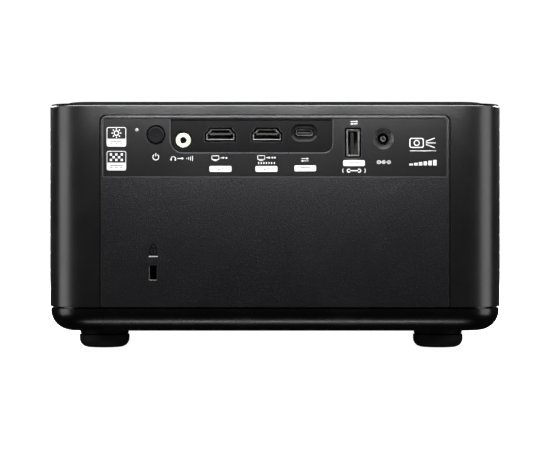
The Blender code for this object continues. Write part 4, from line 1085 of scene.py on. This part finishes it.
def area_light(name, at, target, size, power):
    data = bpy.data.lights.new(name, "AREA")
    data.shape = "RECTANGLE"
    data.size, data.size_y = size
    data.energy = power
    light = bpy.data.objects.new(name, data)
    light.location = at
    light.rotation_euler = (Vector(target) - Vector(at)).to_track_quat("-Z", "Y").to_euler()
    light.visible_camera = False
    bpy.context.scene.collection.objects.link(light)
    if name in OFF_THE_LID:
        spared = bpy.data.collections.new(f"{name} spares")
        spared.objects.link(bpy.data.objects["lid"])
        light.light_linking.receiver_collection = spared
        spared.collection_objects[0].light_linking.link_state = "EXCLUDE"


def studio():
    """A white sweep and backdrop, with soft boxes. The under light shines up through the sweep."""
    pale, tree, shader = new_material("pale floor", (0.9, 0.9, 0.9), 0.7)
    shader.inputs["Emission Color"].default_value = (1, 1, 1, 1)
    shader.inputs["Emission Strength"].default_value = 1.0
    sweep = mixed(tree, noise(tree, 0.002), (0.88, 0.88, 0.88), (0.92, 0.92, 0.92))
    tree.links.new(sweep, shader.inputs["Base Color"])
    ground = [(-6000, -6000, -0.05), (6000, -6000, -0.05), (6000, 6000, -0.05), (-6000, 6000, -0.05)]
    floor = mesh_object("floor", (ground, [(0, 1, 2, 3)]))
    floor.data.materials.append(pale)
    floor.visible_diffuse = floor.visible_glossy = floor.visible_shadow = False
    white, _, shader = new_material("backdrop", (0, 0, 0), 1.0)
    shader.inputs["Emission Color"].default_value = (1, 1, 1, 1)
    shader.inputs["Emission Strength"].default_value = 1.05
    dome = [(5900 * math.sin(math.radians(6 * i)), -5900 * math.cos(math.radians(6 * i))) for i in range(31)]
    rings = [(0 if i in (0, 30) else r, z) for i, (r, z) in enumerate(dome)]
    backdrop = mesh_object("backdrop", turned(rings, (0, 0), "Z", 48))
    backdrop.data.materials.append(white)
    backdrop.visible_diffuse = backdrop.visible_glossy = backdrop.visible_shadow = False
    backdrop.visible_transmission = False
    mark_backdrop(floor, backdrop)
    world = bpy.context.scene.world or bpy.data.worlds.new("studio")
    bpy.context.scene.world = world
    world.use_nodes = True
    background = world.node_tree.nodes["Background"]
    background.inputs["Color"].default_value = (1, 1, 1, 1)
    background.inputs["Strength"].default_value = 0.01
    for name, at, target, size, power in LIGHTS:
        area_light(name, at, target, size, power)
        if at[0]:
            mirror = [(-v[0], v[1], v[2]) for v in (at, target)]
            area_light(f"{name} mirrored", *mirror, size, power)


def camera():
    data = bpy.data.cameras.new("camera")
    data.lens = FOCAL
    data.clip_end = 100
    eye = bpy.data.objects.new("camera", data)
    eye.location = (0, (HALF_D + EYE_DISTANCE) * MM, EYE_HEIGHT * MM)
    eye.rotation_euler = (math.radians(90), 0, math.radians(180))
    bpy.context.scene.collection.objects.link(eye)
    bpy.context.scene.camera = eye


def corners(bounds):
    return [[float(v) for v in corner] for corner in bounds]


sleeve()
lid()
tub()
rubber_feet()
rear_panel()
front_panel()
button()
status_light()
video_sockets()
type_c_socket()
type_a_socket()
audio_jack()
dc_inlet()
pictograms()
dress_kept_nodes()
studio()
camera()
bpy.context.scene.view_settings.view_transform = "Standard"

{"cad": corners(CAD_BOX), "visual": corners(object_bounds())}
